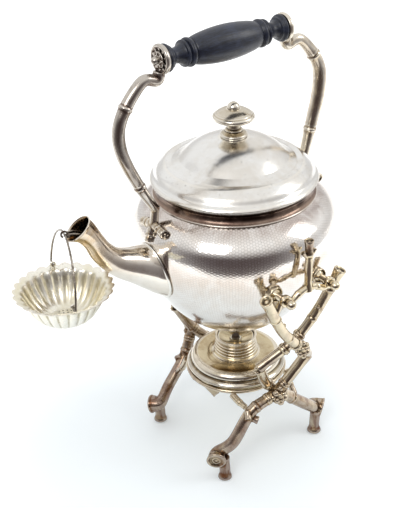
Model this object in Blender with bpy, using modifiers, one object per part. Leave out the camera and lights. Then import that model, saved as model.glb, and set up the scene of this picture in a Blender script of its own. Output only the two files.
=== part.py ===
"""Spirit kettle on a bamboo-form stand, with its lamp and a tea strainer on the spout.

Metres, +Z up. The spout points along -X and the object is mirrored about the XZ plane,
apart from the strainer, which hangs a little turned. The origin lies on the floor, at the
middle of the whole object: all is built about the kettle's own axis, then moved by middle_x.
"""
import math

import bmesh
import bpy
from mathutils import Matrix, Vector

for old in list(bpy.data.objects):
    bpy.data.objects.remove(old, do_unlink=True)

# Shared sizes
gap = 0.0003                    # play between neighbouring pieces
overrun = 0.002                 # how far a cutter passes the surface it cuts
wall = 0.0014                   # sheet silver
left, right = -1.0, 1.0         # sides along Y: the left one is nearer in the photograph
fore, aft = -1.0, 1.0           # ends along X: the spout is at the fore end

# kettle body, a flattened shoulder over a deep round belly
body_radius = 0.085
equator_z = 0.2187
shoulder_rise = 0.0394
belly_drop = 0.103
mouth_radius = body_radius * 0.71176     # opening under the lid
base_radius = body_radius * 0.35294      # flat underside
shoulder_power = 2.08           # outline exponents, a circle has 2
belly_power = 1.84

# neck band soldered on the shoulder
neck_radius = body_radius * 0.75059
neck_height = 0.0122
neck_wall = 0.0014
neck_foot = 0.0028
neck_bead = 0.0018

# lid
lid_radius = neck_radius * 1.07524
lid_ring_radius = lid_radius * 0.80467
lid_flange_rise = 0.0125
lid_dome_rise = 0.0205
lid_roll = 0.0016
bezel_depth = 0.0085
bezel_play = 0.0005
vent_radius = 0.0011
vent_reach = 0.0155
lid_crown_radius = 0.0112       # flat on which the knob stands

# knob on the lid
knob_radius = 0.0169
knob_stem_radius = 0.0046
knob_foot_radius = 0.0107
knob_height = 0.0232
knob_button_radius = 0.0050
knob_button_height = 0.0048

# spout
spout_root_z = 0.1915
spout_root_height = 0.0250
spout_root_width = 0.0215
spout_root_depth = body_radius * 0.77647     # how far the root ring stands from the axis
spout_reach = body_radius * 1.71176      # mouth centre from the kettle's axis
spout_mouth_z = 0.2565
spout_throat = 0.0084
spout_mouth_length = 0.0118
spout_mouth_width = 0.0086
spout_wall = 0.0012
spout_mouth_slope = 37.0        # degrees

# handle
handle_shift = -0.0080          # the grip stands a little towards the spout
grip_clearance = 0.0356         # fingers' room between the knob and the grip
grip_half = 0.0556
grip_belly = 0.0138
grip_waist = 0.0100
grip_neck = 0.0060
grip_ring = 0.0109
grip_end = 0.0106
rod_radius = 0.0020
plate_radius = 0.0115
plate_thickness = 0.0036
washer_radius = 0.0066
washer_thickness = 0.0016
nut_radius = 0.0030
arm_radius = 0.0040
arm_fullness = 0.28             # how much thicker the arms are half way
arm_bow_reach = body_radius * 1.13529
arm_foot_reach = lid_radius * 1.09330     # clear of the lid
arm_foot_rise = 0.0119          # the arms' feet over the shoulder
root_twig_radius = 0.0036
root_spread = 0.0150
root_drop = 0.0150

# studs and brackets on the kettle's flanks
stud_reach = 0.0224
stud_z = 0.1911
stud_ball_out = 0.0144          # the studs' balls beyond the body's radius
stud_ball_radius = 0.0040
stud_neck_radius = 0.0030
stud_flange_radius = 0.0066
stud_flange_thickness = 0.0018
bracket_out = 0.0076            # the brackets' middle beyond it
bracket_radius = 0.0031
bracket_top_z = 0.2368
bracket_foot_z = 0.1960
bracket_eye_radius = 0.0052
bracket_eye_thickness = 0.0046
bracket_flare = 0.0042

# stand: bamboo stems in two layers on each side, crossing twice
stem_radius = 0.0043
leg_radius = 0.0056
layer = stem_radius * 2         # distance between the two layers where stems cross
top_reach = 0.0382
stem_top_out = 0.0032           # the stems' tops beyond it
top_z = 0.1952
cross_reach = 0.0030
cross_y = 0.0768
cross_z = 0.1315
corner_reach = 0.0230
corner_y = 0.0650
corner_z = 0.1095
low_cross_reach = -0.0035
low_cross_out = 0.0161          # the legs' crossing beyond the lamp's radius
low_cross_z = 0.0775
foot_reach = 0.0605
foot_y = 0.0500
foot_z = 0.0220
stem_bow = 0.0060
crook_radius = 0.0030
foot_stub_inset = 0.0092
leg_arch = 0.0085               # the near fore leg arches up
leg_sag = 0.0088                # the far fore leg hangs lower
stem_fore_bow = 0.0042
foot_stub_radius = 0.0060
foot_stub_waist = 0.0042
foot_flare = 0.0080
top_flare = 0.0050

# lamp ring and its struts
hoop_margin = 0.0014            # the hoop's middle beyond the lamp's radius
hoop_thickness = 0.0018
strut_reach = 0.0290
strut_radius = 0.0026
tab_angle = 23.0                # degrees from the fore end
tab_length = 0.0100
tab_width = 0.0130
tab_thickness = 0.0022

# lamp
lamp_radius = 0.0414
lamp_bead = 0.0020
lamp_top_z = 0.0850
lamp_bottom_z = 0.0525
lamp_throat = 0.0150
collar_radius = 0.0176
collar_height = 0.0170
collar_wall = 0.0016
collar_rings = 5
wick_tube_radius = 0.0046
wick_radius = 0.0036
wick_rise = 0.0030
hoop_z = lamp_top_z - 6.3 * lamp_bead - hoop_thickness * 0.87 - gap

# strainer
strainer_turn = 16.0            # degrees about the vertical
bowl_radius = 0.0366
bowl_depth = 0.0300
bowl_foot_radius = 0.0110
bowl_flutes = 24
bowl_scallop = 0.0009
bowl_sheet = 0.0009
wire_radius = 0.0008
lug_height = 0.0050
lug_thickness = 0.0016
lug_radius = 0.0024
bail_rise = 0.0415
bail_margin = 0.0026
clip_eye_radius = 0.0024
clip_eye_reach = 0.0123         # the clip's eye from the mouth's middle
clip_eye_lift = 0.0003
bowl_play = 0.0006              # between the bowl's rim and the spout's underside

kettle_x = 0.0                  # all is built about the kettle's own axis
stud_ball_y = body_radius + stud_ball_out
bracket_y = body_radius + bracket_out
top_y = body_radius + stem_top_out
low_cross_y = lamp_radius + low_cross_out
hoop_radius = lamp_radius + hoop_margin

# Collections, materials
scene = bpy.context.scene
parts = bpy.data.collections.new("spirit_kettle")
tools = bpy.data.collections.new("cutters")
scene.collection.children.link(parts)
scene.collection.children.link(tools)


def material(name, colour, metallic, roughness):
    mat = bpy.data.materials.new(name)
    mat.use_nodes = True
    shader = mat.node_tree.nodes["Principled BSDF"]
    shader.inputs["Base Color"].default_value = (*colour, 1.0)
    shader.inputs["Metallic"].default_value = metallic
    shader.inputs["Roughness"].default_value = roughness
    return mat


silver = material("silver_plate", (0.76, 0.73, 0.67), 1.0, 0.22)
stand_silver = material("tarnished_silver", (0.60, 0.50, 0.38), 1.0, 0.28)
pale_silver = material("strainer_silver", (0.80, 0.79, 0.72), 1.0, 0.25)
ebony = material("ebony", (0.025, 0.028, 0.034), 0.0, 0.38)
steel = material("rod_steel", (0.45, 0.44, 0.42), 1.0, 0.40)
cotton = material("wick_cotton", (0.55, 0.50, 0.42), 0.0, 0.90)


# Building helpers
def add_object(name, data, mat, cutter=False):
    obj = bpy.data.objects.new(name, data)
    (tools if cutter else parts).objects.link(obj)
    if cutter:
        obj.hide_render = True
        obj.display_type = "WIRE"
    elif mat:
        data.materials.append(mat)
    return obj


def smooth(obj, angle=40.0):
    obj.data.shade_smooth()
    obj.data.set_sharp_from_angle(angle=math.radians(angle))
    return obj


def turned(name, outline, mat, steps=32, closed=False, cutter=False, place=None):
    """Solid of revolution from (radius, height) points that run down the outer side."""
    mesh = bpy.data.meshes.new(name)
    verts = [(r, 0.0, h) for r, h in outline]
    edges = [(i, i + 1) for i in range(len(verts) - 1)]
    if closed:
        edges.append((len(verts) - 1, 0))
    mesh.from_pydata(verts, edges, [])
    obj = add_object(name, mesh, mat, cutter)
    screw = obj.modifiers.new("turn", "SCREW")
    screw.steps = screw.render_steps = steps
    screw.angle = 2 * math.pi
    screw.use_merge_vertices = True
    screw.merge_threshold = 0.00001
    screw.use_smooth_shade = True
    if place:
        obj.matrix_world = place
    return obj


def baked(obj):
    """The object as its modifiers or its curve make it, as a plain welded mesh."""
    bpy.context.view_layer.update()
    evaluated = obj.evaluated_get(bpy.context.evaluated_depsgraph_get())
    mesh = bpy.data.meshes.new_from_object(evaluated)
    shape = bmesh.new()
    shape.from_mesh(mesh)
    bmesh.ops.remove_doubles(shape, verts=shape.verts, dist=0.000001)
    bmesh.ops.recalc_face_normals(shape, faces=shape.faces)
    shape.to_mesh(mesh)
    shape.free()
    name = obj.name
    mesh.materials.clear()
    mats = list(obj.data.materials)
    cutter = obj.name in tools.objects
    world = obj.matrix_world.copy()
    bpy.data.objects.remove(obj, do_unlink=True)
    fresh = add_object(name, mesh, mats[0] if mats else None, cutter)
    fresh.matrix_world = world
    return fresh


def tube(name, points, radii, mat, cutter=False, sides=1):
    """Round bar along points, with its own radius at each of them."""
    curve = bpy.data.curves.new(name, "CURVE")
    curve.dimensions = "3D"
    curve.bevel_mode = "ROUND"
    curve.bevel_depth = 1.0
    curve.bevel_resolution = sides
    curve.use_fill_caps = True
    spline = curve.splines.new("POLY")
    spline.points.add(len(points) - 1)
    for knot, place, radius in zip(spline.points, points, radii):
        knot.co = (*place, 1.0)
        knot.radius = radius
    return baked(add_object(name, curve, mat, cutter))


def loft(name, rings, mat, cutter=False, caps=True):
    """Skin through rings of equal counts; with caps it is solid, without it closes on itself."""
    shape = bmesh.new()
    rows = [[shape.verts.new(p) for p in ring] for ring in rings]
    count = len(rings[0])
    pairs = list(zip(rows, rows[1:]))
    if not caps:
        pairs.append((rows[-1], rows[0]))
    for low, high in pairs:
        for i in range(count):
            j = (i + 1) % count
            shape.faces.new((low[i], low[j], high[j], high[i]))
    if caps:
        shape.faces.new(rows[0][::-1])
        shape.faces.new(rows[-1])
    bmesh.ops.recalc_face_normals(shape, faces=shape.faces)
    mesh = bpy.data.meshes.new(name)
    shape.to_mesh(mesh)
    shape.free()
    return add_object(name, mesh, mat, cutter)


def ball(name, centre, radius, mat, cutter=False, rows=6, columns=10):
    shape = bmesh.new()
    bmesh.ops.create_uvsphere(shape, u_segments=columns, v_segments=rows, radius=radius)
    mesh = bpy.data.meshes.new(name)
    shape.to_mesh(mesh)
    shape.free()
    obj = add_object(name, mesh, mat, cutter)
    obj.location = centre
    return obj


def cylinder(name, start, end, radius, mat, cutter=False, sides=16):
    axis = Vector(end) - Vector(start)
    shape = bmesh.new()
    bmesh.ops.create_cone(shape, cap_ends=True, segments=sides, radius1=radius,
                          radius2=radius, depth=axis.length)
    mesh = bpy.data.meshes.new(name)
    shape.to_mesh(mesh)
    shape.free()
    obj = add_object(name, mesh, mat, cutter)
    turn = axis.to_track_quat("Z", "Y").to_matrix().to_4x4()
    obj.matrix_world = Matrix.Translation((Vector(start) + Vector(end)) / 2) @ turn
    return obj


def as_tool(obj):
    """Moves a shape that only joins or cuts another into the cutters' collection."""
    if obj.name in parts.objects:
        parts.objects.unlink(obj)
        tools.objects.link(obj)
    obj.hide_render = True
    obj.display_type = "WIRE"
    return obj


def combine(target, operation, *shapes):
    for shape in shapes:
        as_tool(shape)
        step = target.modifiers.new(f"{operation.lower()}_{shape.name}"[:60], "BOOLEAN")
        step.operation = operation
        step.solver = "EXACT"
        step.object = shape
    return target


def join(target, *shapes):
    return combine(target, "UNION", *shapes)


def cut(target, *shapes):
    return combine(target, "DIFFERENCE", *shapes)


def along(points, count):
    """Smooth run of count points through the given ones (Catmull-Rom)."""
    knots = [Vector(p) for p in points]
    knots = [2 * knots[0] - knots[1]] + knots + [2 * knots[-1] - knots[-2]]
    spans = len(points) - 1
    run = []
    for i in range(count):
        t = spans * i / (count - 1)
        k = min(int(t), spans - 1)
        t -= k
        a, b, c, d = knots[k:k + 4]
        run.append(((2 * b) + (c - a) * t + (2 * a - 5 * b + 4 * c - d) * t * t
                    + (3 * b - a - 3 * c + d) * t ** 3) / 2)
    return run


def bamboo(name, points, start, end, knots, mat, flare=(1.0, 1.0), count=13, extra=0.0,
           cutter=False, pinch=0.90, swell=1.22, knot_width_share=0.028, flare_share=0.07,
           fullness=0.0):
    """Bamboo stem: tapered bar with a raised band at each knot share and flared cut ends."""
    shares = {i / (count - 1) for i in range(count)}
    for knot in knots:
        shares = {s for s in shares if abs(s - knot) > 2 * knot_width_share}
        shares |= {knot - knot_width_share, knot, knot + knot_width_share}
    if flare[0] > 1.0:
        shares = {s for s in shares if not 0 < s < flare_share} | {flare_share}
    if flare[1] > 1.0:
        shares = {s for s in shares if not 1 - flare_share < s < 1} | {1 - flare_share}
    smooth_run = along(points, 121)
    places, radii = [], []
    for share in sorted(shares):
        at = share * 120
        k = min(int(at), 119)
        places.append(smooth_run[k].lerp(smooth_run[k + 1], at - k))
        size = (start + (end - start) * share) * (1 + fullness * math.sin(math.pi * share))
        nearest = min((abs(share - knot) for knot in knots), default=1.0)
        if nearest < 0.001:
            size *= swell
        elif nearest < 2 * knot_width_share:
            size *= 1.02
        elif nearest < 6 * knot_width_share:
            size *= pinch + 0.06
        else:
            size *= pinch
        if share == 0:
            size = start * flare[0]
        if share == 1:
            size = end * flare[1]
        radii.append(size + extra)
    return tube(name, places, radii, mat, cutter)


def mirrored(points, side):
    return [(x, y * side, z) for x, y, z in points]


# Kettle body and neck
def shoulder_height(radius, offset=0.0):
    """Height of the shoulder's surface over a radius."""
    share = min(radius / (body_radius + offset), 1.0)
    rise = (1 - share ** shoulder_power) ** (1 / shoulder_power)
    return equator_z + (shoulder_rise + offset) * rise


def kettle_outline(offset, opening, rows_up, rows_down):
    """Outline points of the belly from the opening down to the flat base."""
    reach = body_radius + offset
    first = math.acos(min(1.0, (opening / reach) ** (shoulder_power / 2)))
    last = math.acos(min(1.0, (base_radius / reach) ** (belly_power / 2)))
    points = []
    for i in range(rows_up):
        a = first * (1 - i / rows_up)
        points.append((reach * math.cos(a) ** (2 / shoulder_power),
                       equator_z + (shoulder_rise + offset) * math.sin(a) ** (2 / shoulder_power)))
    for i in range(rows_down + 1):
        a = last * i / rows_down
        points.append((reach * math.cos(a) ** (2 / belly_power),
                       equator_z - (belly_drop + offset) * math.sin(a) ** (2 / belly_power)))
    return points


axis_place = Matrix.Translation((kettle_x, 0, 0))


def kettle_form(name, offset):
    """The kettle's whole outside as a solid, for cutting what seats on it."""
    outline = kettle_outline(offset, mouth_radius, 7, 9)
    outline = [(0.0, outline[0][1])] + outline + [(0.0, outline[-1][1])]
    return turned(name, outline, None, steps=32, cutter=True, place=axis_place)


outer = kettle_outline(0.0, mouth_radius, 7, 9)
inner = kettle_outline(-wall, mouth_radius - wall / 2, 3, 4)
inner[-1] = (base_radius - wall, outer[-1][1] + wall)
shell = [(0.0, inner[-1][1])] + inner[::-1] + outer + [(0.0, outer[-1][1])]
kettle_body = turned("kettle_body", shell, silver, steps=32, place=axis_place)
kettle_bottom_z = outer[-1][1]

neck_inner = neck_radius - neck_wall
neck_foot_radius = neck_radius + neck_foot
neck_top_z = shoulder_height(neck_foot_radius) + neck_height
seat_in = shoulder_height(neck_inner) + gap
seat_out = shoulder_height(neck_foot_radius) + gap
neck_outline = [
    (neck_inner, neck_top_z),
    (neck_radius + neck_bead * 0.6, neck_top_z),
    (neck_radius + neck_bead, neck_top_z - neck_bead * 0.8),
    (neck_radius + neck_bead * 0.5, neck_top_z - neck_bead * 1.7),
    (neck_radius - neck_wall * 0.2, neck_top_z - neck_height * 0.42),
    (neck_radius + neck_foot * 0.5, neck_top_z - neck_height * 0.84),
    (neck_foot_radius, seat_out + neck_bead * 0.4),
    (neck_foot_radius, seat_out),
    (neck_inner, seat_in)]
neck_band = turned("neck_band", neck_outline, silver, steps=32, closed=True, place=axis_place)

# Lid and knob
rim_z = neck_top_z + gap
rim_top_z = rim_z + 2 * lid_roll
ring_z = rim_top_z + lid_flange_rise - lid_roll
crown_z = ring_z + lid_dome_rise
bezel_radius = neck_inner - bezel_play
dome_shares = [(0.97, 0.05), (0.88, 0.16), (0.76, 0.33), (0.62, 0.53), (0.47, 0.74),
               (0.33, 0.90)]
lid_outline = [(0.0, crown_z), (lid_crown_radius, crown_z)]
lid_outline += [(lid_ring_radius * r, ring_z + lid_dome_rise * h) for r, h in dome_shares[::-1]]
lid_outline += [
    (lid_ring_radius, ring_z),
    (lid_ring_radius + lid_roll * 0.6, ring_z + lid_roll * 0.25),
    (lid_ring_radius + lid_roll * 1.3, ring_z - lid_roll * 0.4),
    (lid_ring_radius + (lid_radius - lid_ring_radius) * 0.60, rim_top_z + lid_flange_rise * 0.36),
    (lid_radius - lid_roll, rim_top_z + lid_roll * 0.2),
    (lid_radius - lid_roll * 0.25, rim_top_z - lid_roll * 0.5),
    (lid_radius, rim_top_z - lid_roll * 1.2),
    (lid_radius - lid_roll * 0.5, rim_z),
    (bezel_radius, rim_z),
    (bezel_radius, rim_z - bezel_depth),
    (bezel_radius - wall, rim_z - bezel_depth),
    (bezel_radius - wall, ring_z - wall * 3.0),
    (lid_ring_radius - wall, ring_z - wall),
    (lid_ring_radius * 0.76, ring_z - wall + lid_dome_rise * 0.30),
    (lid_ring_radius * 0.47, ring_z - wall + lid_dome_rise * 0.70),
    (lid_crown_radius, crown_z - wall * 1.2),
    (0.0, crown_z - wall * 1.2)]
lid = turned("lid", lid_outline, silver, steps=28, place=axis_place)
vent_x = kettle_x + vent_reach
vent = cylinder("vent_hole", (vent_x, 0, ring_z), (vent_x, 0, crown_z + overrun), vent_radius,
                None, cutter=True, sides=8)
cut(lid, vent)

knob_base_z = crown_z + gap
knob_shares = [          # radius over the named radius, height over knob_height
    (knob_foot_radius, 1.00, 0.00), (knob_foot_radius, 1.00, 0.06),
    (knob_foot_radius, 0.86, 0.12), (knob_stem_radius, 1.25, 0.20),
    (knob_stem_radius, 1.00, 0.32), (knob_stem_radius, 1.04, 0.48),
    (knob_stem_radius, 1.45, 0.58), (knob_radius, 0.62, 0.64), (knob_radius, 0.92, 0.71),
    (knob_radius, 1.00, 0.80), (knob_radius, 0.95, 0.87), (knob_radius, 0.72, 0.92),
    (knob_radius, 0.40, 1.00)]
knob_outline = [(0.0, knob_base_z + knob_height)]
knob_outline += [(r * share, knob_base_z + knob_height * h) for r, share, h in knob_shares[::-1]]
knob_outline += [(0.0, knob_base_z)]
knob = turned("knob", knob_outline, silver, steps=18, place=axis_place)

button_z = knob_base_z + knob_height + gap
button_outline = [(0.0, button_z + knob_button_height)]
for i in range(1, 5):
    a = math.radians(22.5 * i)
    button_outline.append((knob_button_radius * math.sin(a),
                           button_z + knob_button_height * (0.25 + 0.75 * math.cos(a))))
button_outline += [(knob_button_radius * 0.9, button_z), (0.0, button_z)]
knob_button = turned("knob_button", button_outline, silver, steps=16, place=axis_place)

# Spout
slope = math.radians(spout_mouth_slope)
# per ring: reach and height shares between root and mouth, tilt in degrees of the ring's
# plane from upright, and its half height and half width
spout_rings = [
    (0.00, 0.00, -4.0, spout_root_height, spout_root_width),
    (0.16, 0.08, 2.0, spout_root_height * 0.88, spout_root_width * 0.94),
    (0.28, 0.17, 12.0, spout_root_height * 0.74, spout_root_width * 0.82),
    (0.42, 0.27, 22.0, spout_root_height * 0.60, spout_root_width * 0.70),
    (0.56, 0.36, 32.0, spout_root_height * 0.50, spout_root_width * 0.58),
    (0.68, 0.47, 45.0, spout_root_height * 0.41, spout_root_width * 0.48),
    (0.78, 0.62, 58.0, spout_throat * 1.08, spout_throat * 1.06),
    (0.85, 0.78, 64.0, spout_throat, spout_throat),
    (0.92, 0.91, 60.0, spout_throat * 1.12, spout_throat),
    (1.00, 1.00, 90.0 - spout_mouth_slope, spout_mouth_length, spout_mouth_width)]


def spout_ring(ring, inset, sides=16):
    reach, rise, tilt, high, wide = ring
    centre = Vector((kettle_x - spout_root_depth - (spout_reach - spout_root_depth) * reach, 0,
                     spout_root_z + (spout_mouth_z - spout_root_z) * rise))
    tilt = math.radians(tilt)
    up = Vector((math.sin(tilt), 0, math.cos(tilt)))
    points = []
    for i in range(sides):
        a = 2 * math.pi * i / sides
        points.append(centre + up * ((high - inset) * math.cos(a))
                      + Vector((0, (wide - inset) * math.sin(a), 0)))
    return points


lug_z = lug_height - lug_radius
bowl_z = spout_mouth_z + clip_eye_lift - bail_rise - wire_radius - lug_z
under = [(ring[0], ring[1], ring[2], ring[3]) for ring in spout_rings]
under_reach, under_z = [], []
for reach, rise, tilt, high in under:
    tilt = math.radians(tilt)
    under_reach.append(spout_root_depth + (spout_reach - spout_root_depth) * reach
                       + math.sin(tilt) * high)
    under_z.append(spout_root_z + (spout_mouth_z - spout_root_z) * rise - math.cos(tilt) * high)
for i in range(len(under_z) - 1):
    if under_z[i] <= bowl_z <= under_z[i + 1]:
        share = (bowl_z - under_z[i]) / (under_z[i + 1] - under_z[i])
        clear_reach = under_reach[i] + (under_reach[i + 1] - under_reach[i]) * share
strainer_reach = clear_reach + bowl_play + bowl_radius + bowl_scallop
bail_lean = strainer_reach - spout_reach - clip_eye_reach

outside = [spout_ring(ring, 0.0) for ring in spout_rings]
inside = [spout_ring(ring, spout_wall) for ring in spout_rings]
spout = loft("spout", outside + inside[::-1], silver, caps=False)
cut(spout, kettle_form("kettle_form_spout", gap))
smooth(spout)

bore_in = spout_ring((-0.22, -0.06, -4.0, spout_root_height, spout_root_width), spout_wall * 3)
bore_out = spout_ring(spout_rings[2], spout_wall * 3)
bore = loft("spout_bore", [bore_in, bore_out], None, cutter=True)
cut(kettle_body, bore)

# Handle
grip_x = kettle_x + handle_shift
grip_z = button_z + knob_button_height + grip_clearance + grip_belly
arm_foot_z = shoulder_height(arm_foot_reach) + arm_foot_rise
grip_place = Matrix.Translation((grip_x, 0, grip_z)) @ Matrix.Rotation(math.pi / 2, 4, "Y")
bore_radius = rod_radius + gap
half_shares = [          # length share from the middle, radius
    (0.00, grip_belly), (0.12, grip_belly * 0.985), (0.26, grip_belly * 0.93),
    (0.42, grip_belly * 0.83), (0.54, grip_waist), (0.555, grip_waist * 0.92),
    (0.575, grip_ring), (0.635, grip_ring), (0.66, grip_ring * 0.80), (0.70, grip_ring * 0.74),
    (0.76, grip_neck * 1.12), (0.82, grip_neck), (0.865, grip_neck * 1.18),
    (0.895, grip_end * 0.86), (0.93, grip_end * 0.93), (0.945, grip_end), (1.00, grip_end)]
grip_outline = [(bore_radius, grip_half)]
grip_outline += [(r, grip_half * s) for s, r in half_shares[::-1]]
grip_outline += [(r, -grip_half * s) for s, r in half_shares[1:]]
grip_outline += [(bore_radius, -grip_half)]
grip = turned("grip", grip_outline, ebony, steps=12, closed=True, place=grip_place)

plate_in = grip_half + gap
plate_out = plate_in + plate_thickness
washer_out = plate_out + gap + washer_thickness
rod_half = washer_out
grip_rod = cylinder("grip_rod", (grip_x - rod_half, 0, grip_z), (grip_x + rod_half, 0, grip_z),
                    rod_radius, steel, sides=10)

arm_shares = [(0.44, 0.882), (0.95, 0.685), (1.0, 0.487)]    # out from the plate, up to the grip
for end, label in ((fore, "fore"), (aft, "aft")):
    def at(reach, y, z, shift=1.0, end=end):
        return (kettle_x + handle_shift * shift + end * reach, y, z)

    arm_path = [at(plate_in + arm_radius, 0, grip_z - plate_radius * 0.80),
                at(plate_in + arm_radius * 1.6, 0, grip_z - plate_radius - arm_radius * 0.85)]
    arm_path += [at(plate_out + (arm_bow_reach - plate_out) * out, 0,
                    arm_foot_z + (grip_z - arm_foot_z) * up) for out, up in arm_shares]
    arm_path += [at(arm_foot_reach + (arm_bow_reach - arm_foot_reach) * 0.52, 0,
                    arm_foot_z + (grip_z - arm_foot_z) * 0.227, 0.7),
                 at(arm_foot_reach, 0, arm_foot_z, 0.2)]
    arm = bamboo(f"handle_arm_{label}", arm_path, arm_radius * 0.92, arm_radius * 0.84,
                 (0.33, 0.835), silver, count=13, swell=1.18, pinch=1.0,
                 knot_width_share=0.018, fullness=arm_fullness)
    plate = turned(f"plate_{label}", [
        (0.0, plate_out), (plate_radius * 0.94, plate_out),
        (plate_radius, plate_out - plate_thickness * 0.3), (plate_radius, plate_in), (0.0, plate_in)],
        None, steps=16, cutter=True,
        place=Matrix.Translation((grip_x, 0, grip_z)) @ Matrix.Rotation(end * math.pi / 2, 4, "Y"))
    foot = Vector(arm_path[-1])
    shoulder_r = arm_foot_reach + root_twig_radius * 1.2
    twig_z = shoulder_height(shoulder_r) + root_twig_radius * 1.1
    low_r = body_radius - root_twig_radius * 0.1
    low_z = shoulder_height(low_r) + root_twig_radius * 0.6
    crown = (kettle_x + end * shoulder_r, 0, twig_z)
    side_r = arm_foot_reach + root_twig_radius * 1.6
    side_z = shoulder_height(side_r) + root_twig_radius * 0.9
    side_x = kettle_x + end * math.sqrt(side_r ** 2 - root_spread ** 2)
    stub = bamboo(f"root_post_{label}", [foot + Vector((0, 0, root_twig_radius)), Vector(crown)],
                  arm_radius * 0.84, root_twig_radius, (), None, count=4, cutter=True, pinch=1.0)
    cross = bamboo(f"root_cross_{label}",
                   [(side_x, -root_spread, side_z), crown, (side_x, root_spread, side_z)],
                   root_twig_radius, root_twig_radius, (0.18, 0.82), None, count=9,
                   flare=(1.12, 1.12), cutter=True, swell=1.25)
    drop = bamboo(f"root_drop_{label}",
                  [crown, (kettle_x + end * (shoulder_r + low_r) / 2, 0, (twig_z + low_z) / 2
                           + root_twig_radius * 0.6), (kettle_x + end * low_r, 0, low_z)],
                  root_twig_radius * 0.9, root_twig_radius * 0.8, (0.6,), None, count=6,
                  flare=(1.0, 1.2), cutter=True)
    join(arm, plate, stub, cross, drop)
    rod_hole = cylinder(f"rod_hole_{label}", at(plate_in - overrun, 0, grip_z),
                        at(plate_out + overrun, 0, grip_z), bore_radius, None, cutter=True,
                        sides=12)
    cut(arm, kettle_form(f"kettle_form_arm_{label}", gap), rod_hole)

    washer_in = plate_out + gap
    washer = loft(f"rosette_{label}", [
        [Vector(at(reach, radius * math.cos(a) * size, grip_z + radius * math.sin(a) * size))
         for a, radius in ((2 * math.pi * i / 16, washer_radius * (1.0 if i % 4 else 0.78))
                           for i in range(16))]
        for reach, size in ((washer_in, 1.0), (washer_in + washer_thickness * 0.5, 1.0),
                            (washer_in + washer_thickness, 0.72))], silver)
    washer_hole = cylinder(f"washer_hole_{label}", at(plate_out - overrun, 0, grip_z),
                           at(washer_out + overrun, 0, grip_z), bore_radius, None, cutter=True,
                           sides=12)
    cut(washer, washer_hole)
    nut_base = washer_out + gap
    nut_outline = [(0.0, nut_base + nut_radius * 1.3), (nut_radius * 0.62, nut_base + nut_radius * 1.12),
                   (nut_radius * 0.96, nut_base + nut_radius * 0.62), (nut_radius, nut_base),
                   (0.0, nut_base)]
    turned(f"grip_nut_{label}", nut_outline, silver, steps=12,
           place=Matrix.Translation((grip_x, 0, grip_z)) @ Matrix.Rotation(end * math.pi / 2, 4, "Y"))

# Studs and brackets
eye_in = bracket_y - bracket_eye_thickness / 2
eye_out = bracket_y + bracket_eye_thickness / 2
stud_root = math.sqrt(body_radius ** 2 - stud_reach ** 2) - stud_flange_radius * 1.2
flange_y = math.sqrt((body_radius * 0.957) ** 2 - (stud_reach - stud_flange_radius) ** 2)

for side, hand in ((left, "left"), (right, "right")):
    for end, label in ((fore, "fore"), (aft, "aft")):
        top = stud_ball_y + stud_ball_radius
        outline = [(0.0, top)]
        for i in range(1, 5):
            a = math.radians(33.0 * i)
            outline.append((stud_ball_radius * math.sin(a),
                            stud_ball_y + stud_ball_radius * math.cos(a)))
        outline += [(stud_neck_radius, eye_out + gap), (stud_neck_radius, eye_in - gap),
                    (stud_neck_radius, flange_y + stud_flange_thickness * 1.9),
                    (stud_flange_radius, flange_y + stud_flange_thickness),
                    (stud_flange_radius, stud_root), (0.0, stud_root)]
        place = (Matrix.Translation((kettle_x + end * stud_reach, 0, stud_z))
                 @ Matrix.Rotation(-side * math.pi / 2, 4, "X"))
        stud = turned(f"stud_{hand}_{label}", outline, stand_silver, steps=10, place=place)
        cut(stud, kettle_form(f"kettle_form_stud_{hand}_{label}", gap))

    y = side * bracket_y
    bracket = bamboo(f"bracket_{hand}", [(kettle_x, y, bracket_foot_z - bracket_flare),
                                         (kettle_x, y, (bracket_foot_z + bracket_top_z) / 2),
                                         (kettle_x, y, bracket_top_z)],
                     bracket_radius, bracket_radius, (0.72,), stand_silver, count=7,
                     flare=(bracket_flare / bracket_radius, 1.35), swell=1.3, pinch=0.98)
    pieces = []
    for end, label in ((fore, "fore"), (aft, "aft")):
        eye_x = kettle_x + end * stud_reach
        sag = bracket_radius * 0.9
        pieces.append(bamboo(f"bracket_arm_{hand}_{label}", [
            (kettle_x - end * bracket_radius * 0.35, y, bracket_foot_z + end * bracket_radius * 0.12),
            (kettle_x + end * stud_reach * 0.35, y, bracket_foot_z - sag),
            (kettle_x + end * stud_reach * 0.7, y, stud_z - sag), (eye_x, y, stud_z)],
            bracket_radius, bracket_radius * 0.85, (0.3,), None, count=7, cutter=True))
        pieces.append(cylinder(f"bracket_eye_{hand}_{label}", (eye_x, side * eye_in, stud_z),
                               (eye_x, side * eye_out, stud_z), bracket_eye_radius, None,
                               cutter=True, sides=10))
        bud = bracket_top_z - (bracket_top_z - bracket_foot_z) * 0.28
        pieces.append(bamboo(f"bracket_bud_{hand}_{label}", [
            (kettle_x - end * bracket_radius * 0.3, y, bud - bracket_radius * (1.1 + 0.15 * end)),
            (kettle_x + end * bracket_radius * 2.0, y, bud + bracket_radius * 0.9)],
            bracket_radius * 0.62, bracket_radius * 0.55, (), None, count=3, cutter=True))
    join(bracket, *pieces)
    for end, label in ((fore, "fore"), (aft, "aft")):
        eye_x = kettle_x + end * stud_reach
        cut(bracket, cylinder(f"bracket_bore_{hand}_{label}",
                              (eye_x, side * (eye_in - overrun), stud_z),
                              (eye_x, side * (eye_out + overrun), stud_z),
                              stud_neck_radius + gap, None, cutter=True, sides=10))

# Stand
half_layer = layer / 2
kx = kettle_x


def blend(a, b, share):
    return tuple(p + (q - p) * share for p, q in zip(a, b))


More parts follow.
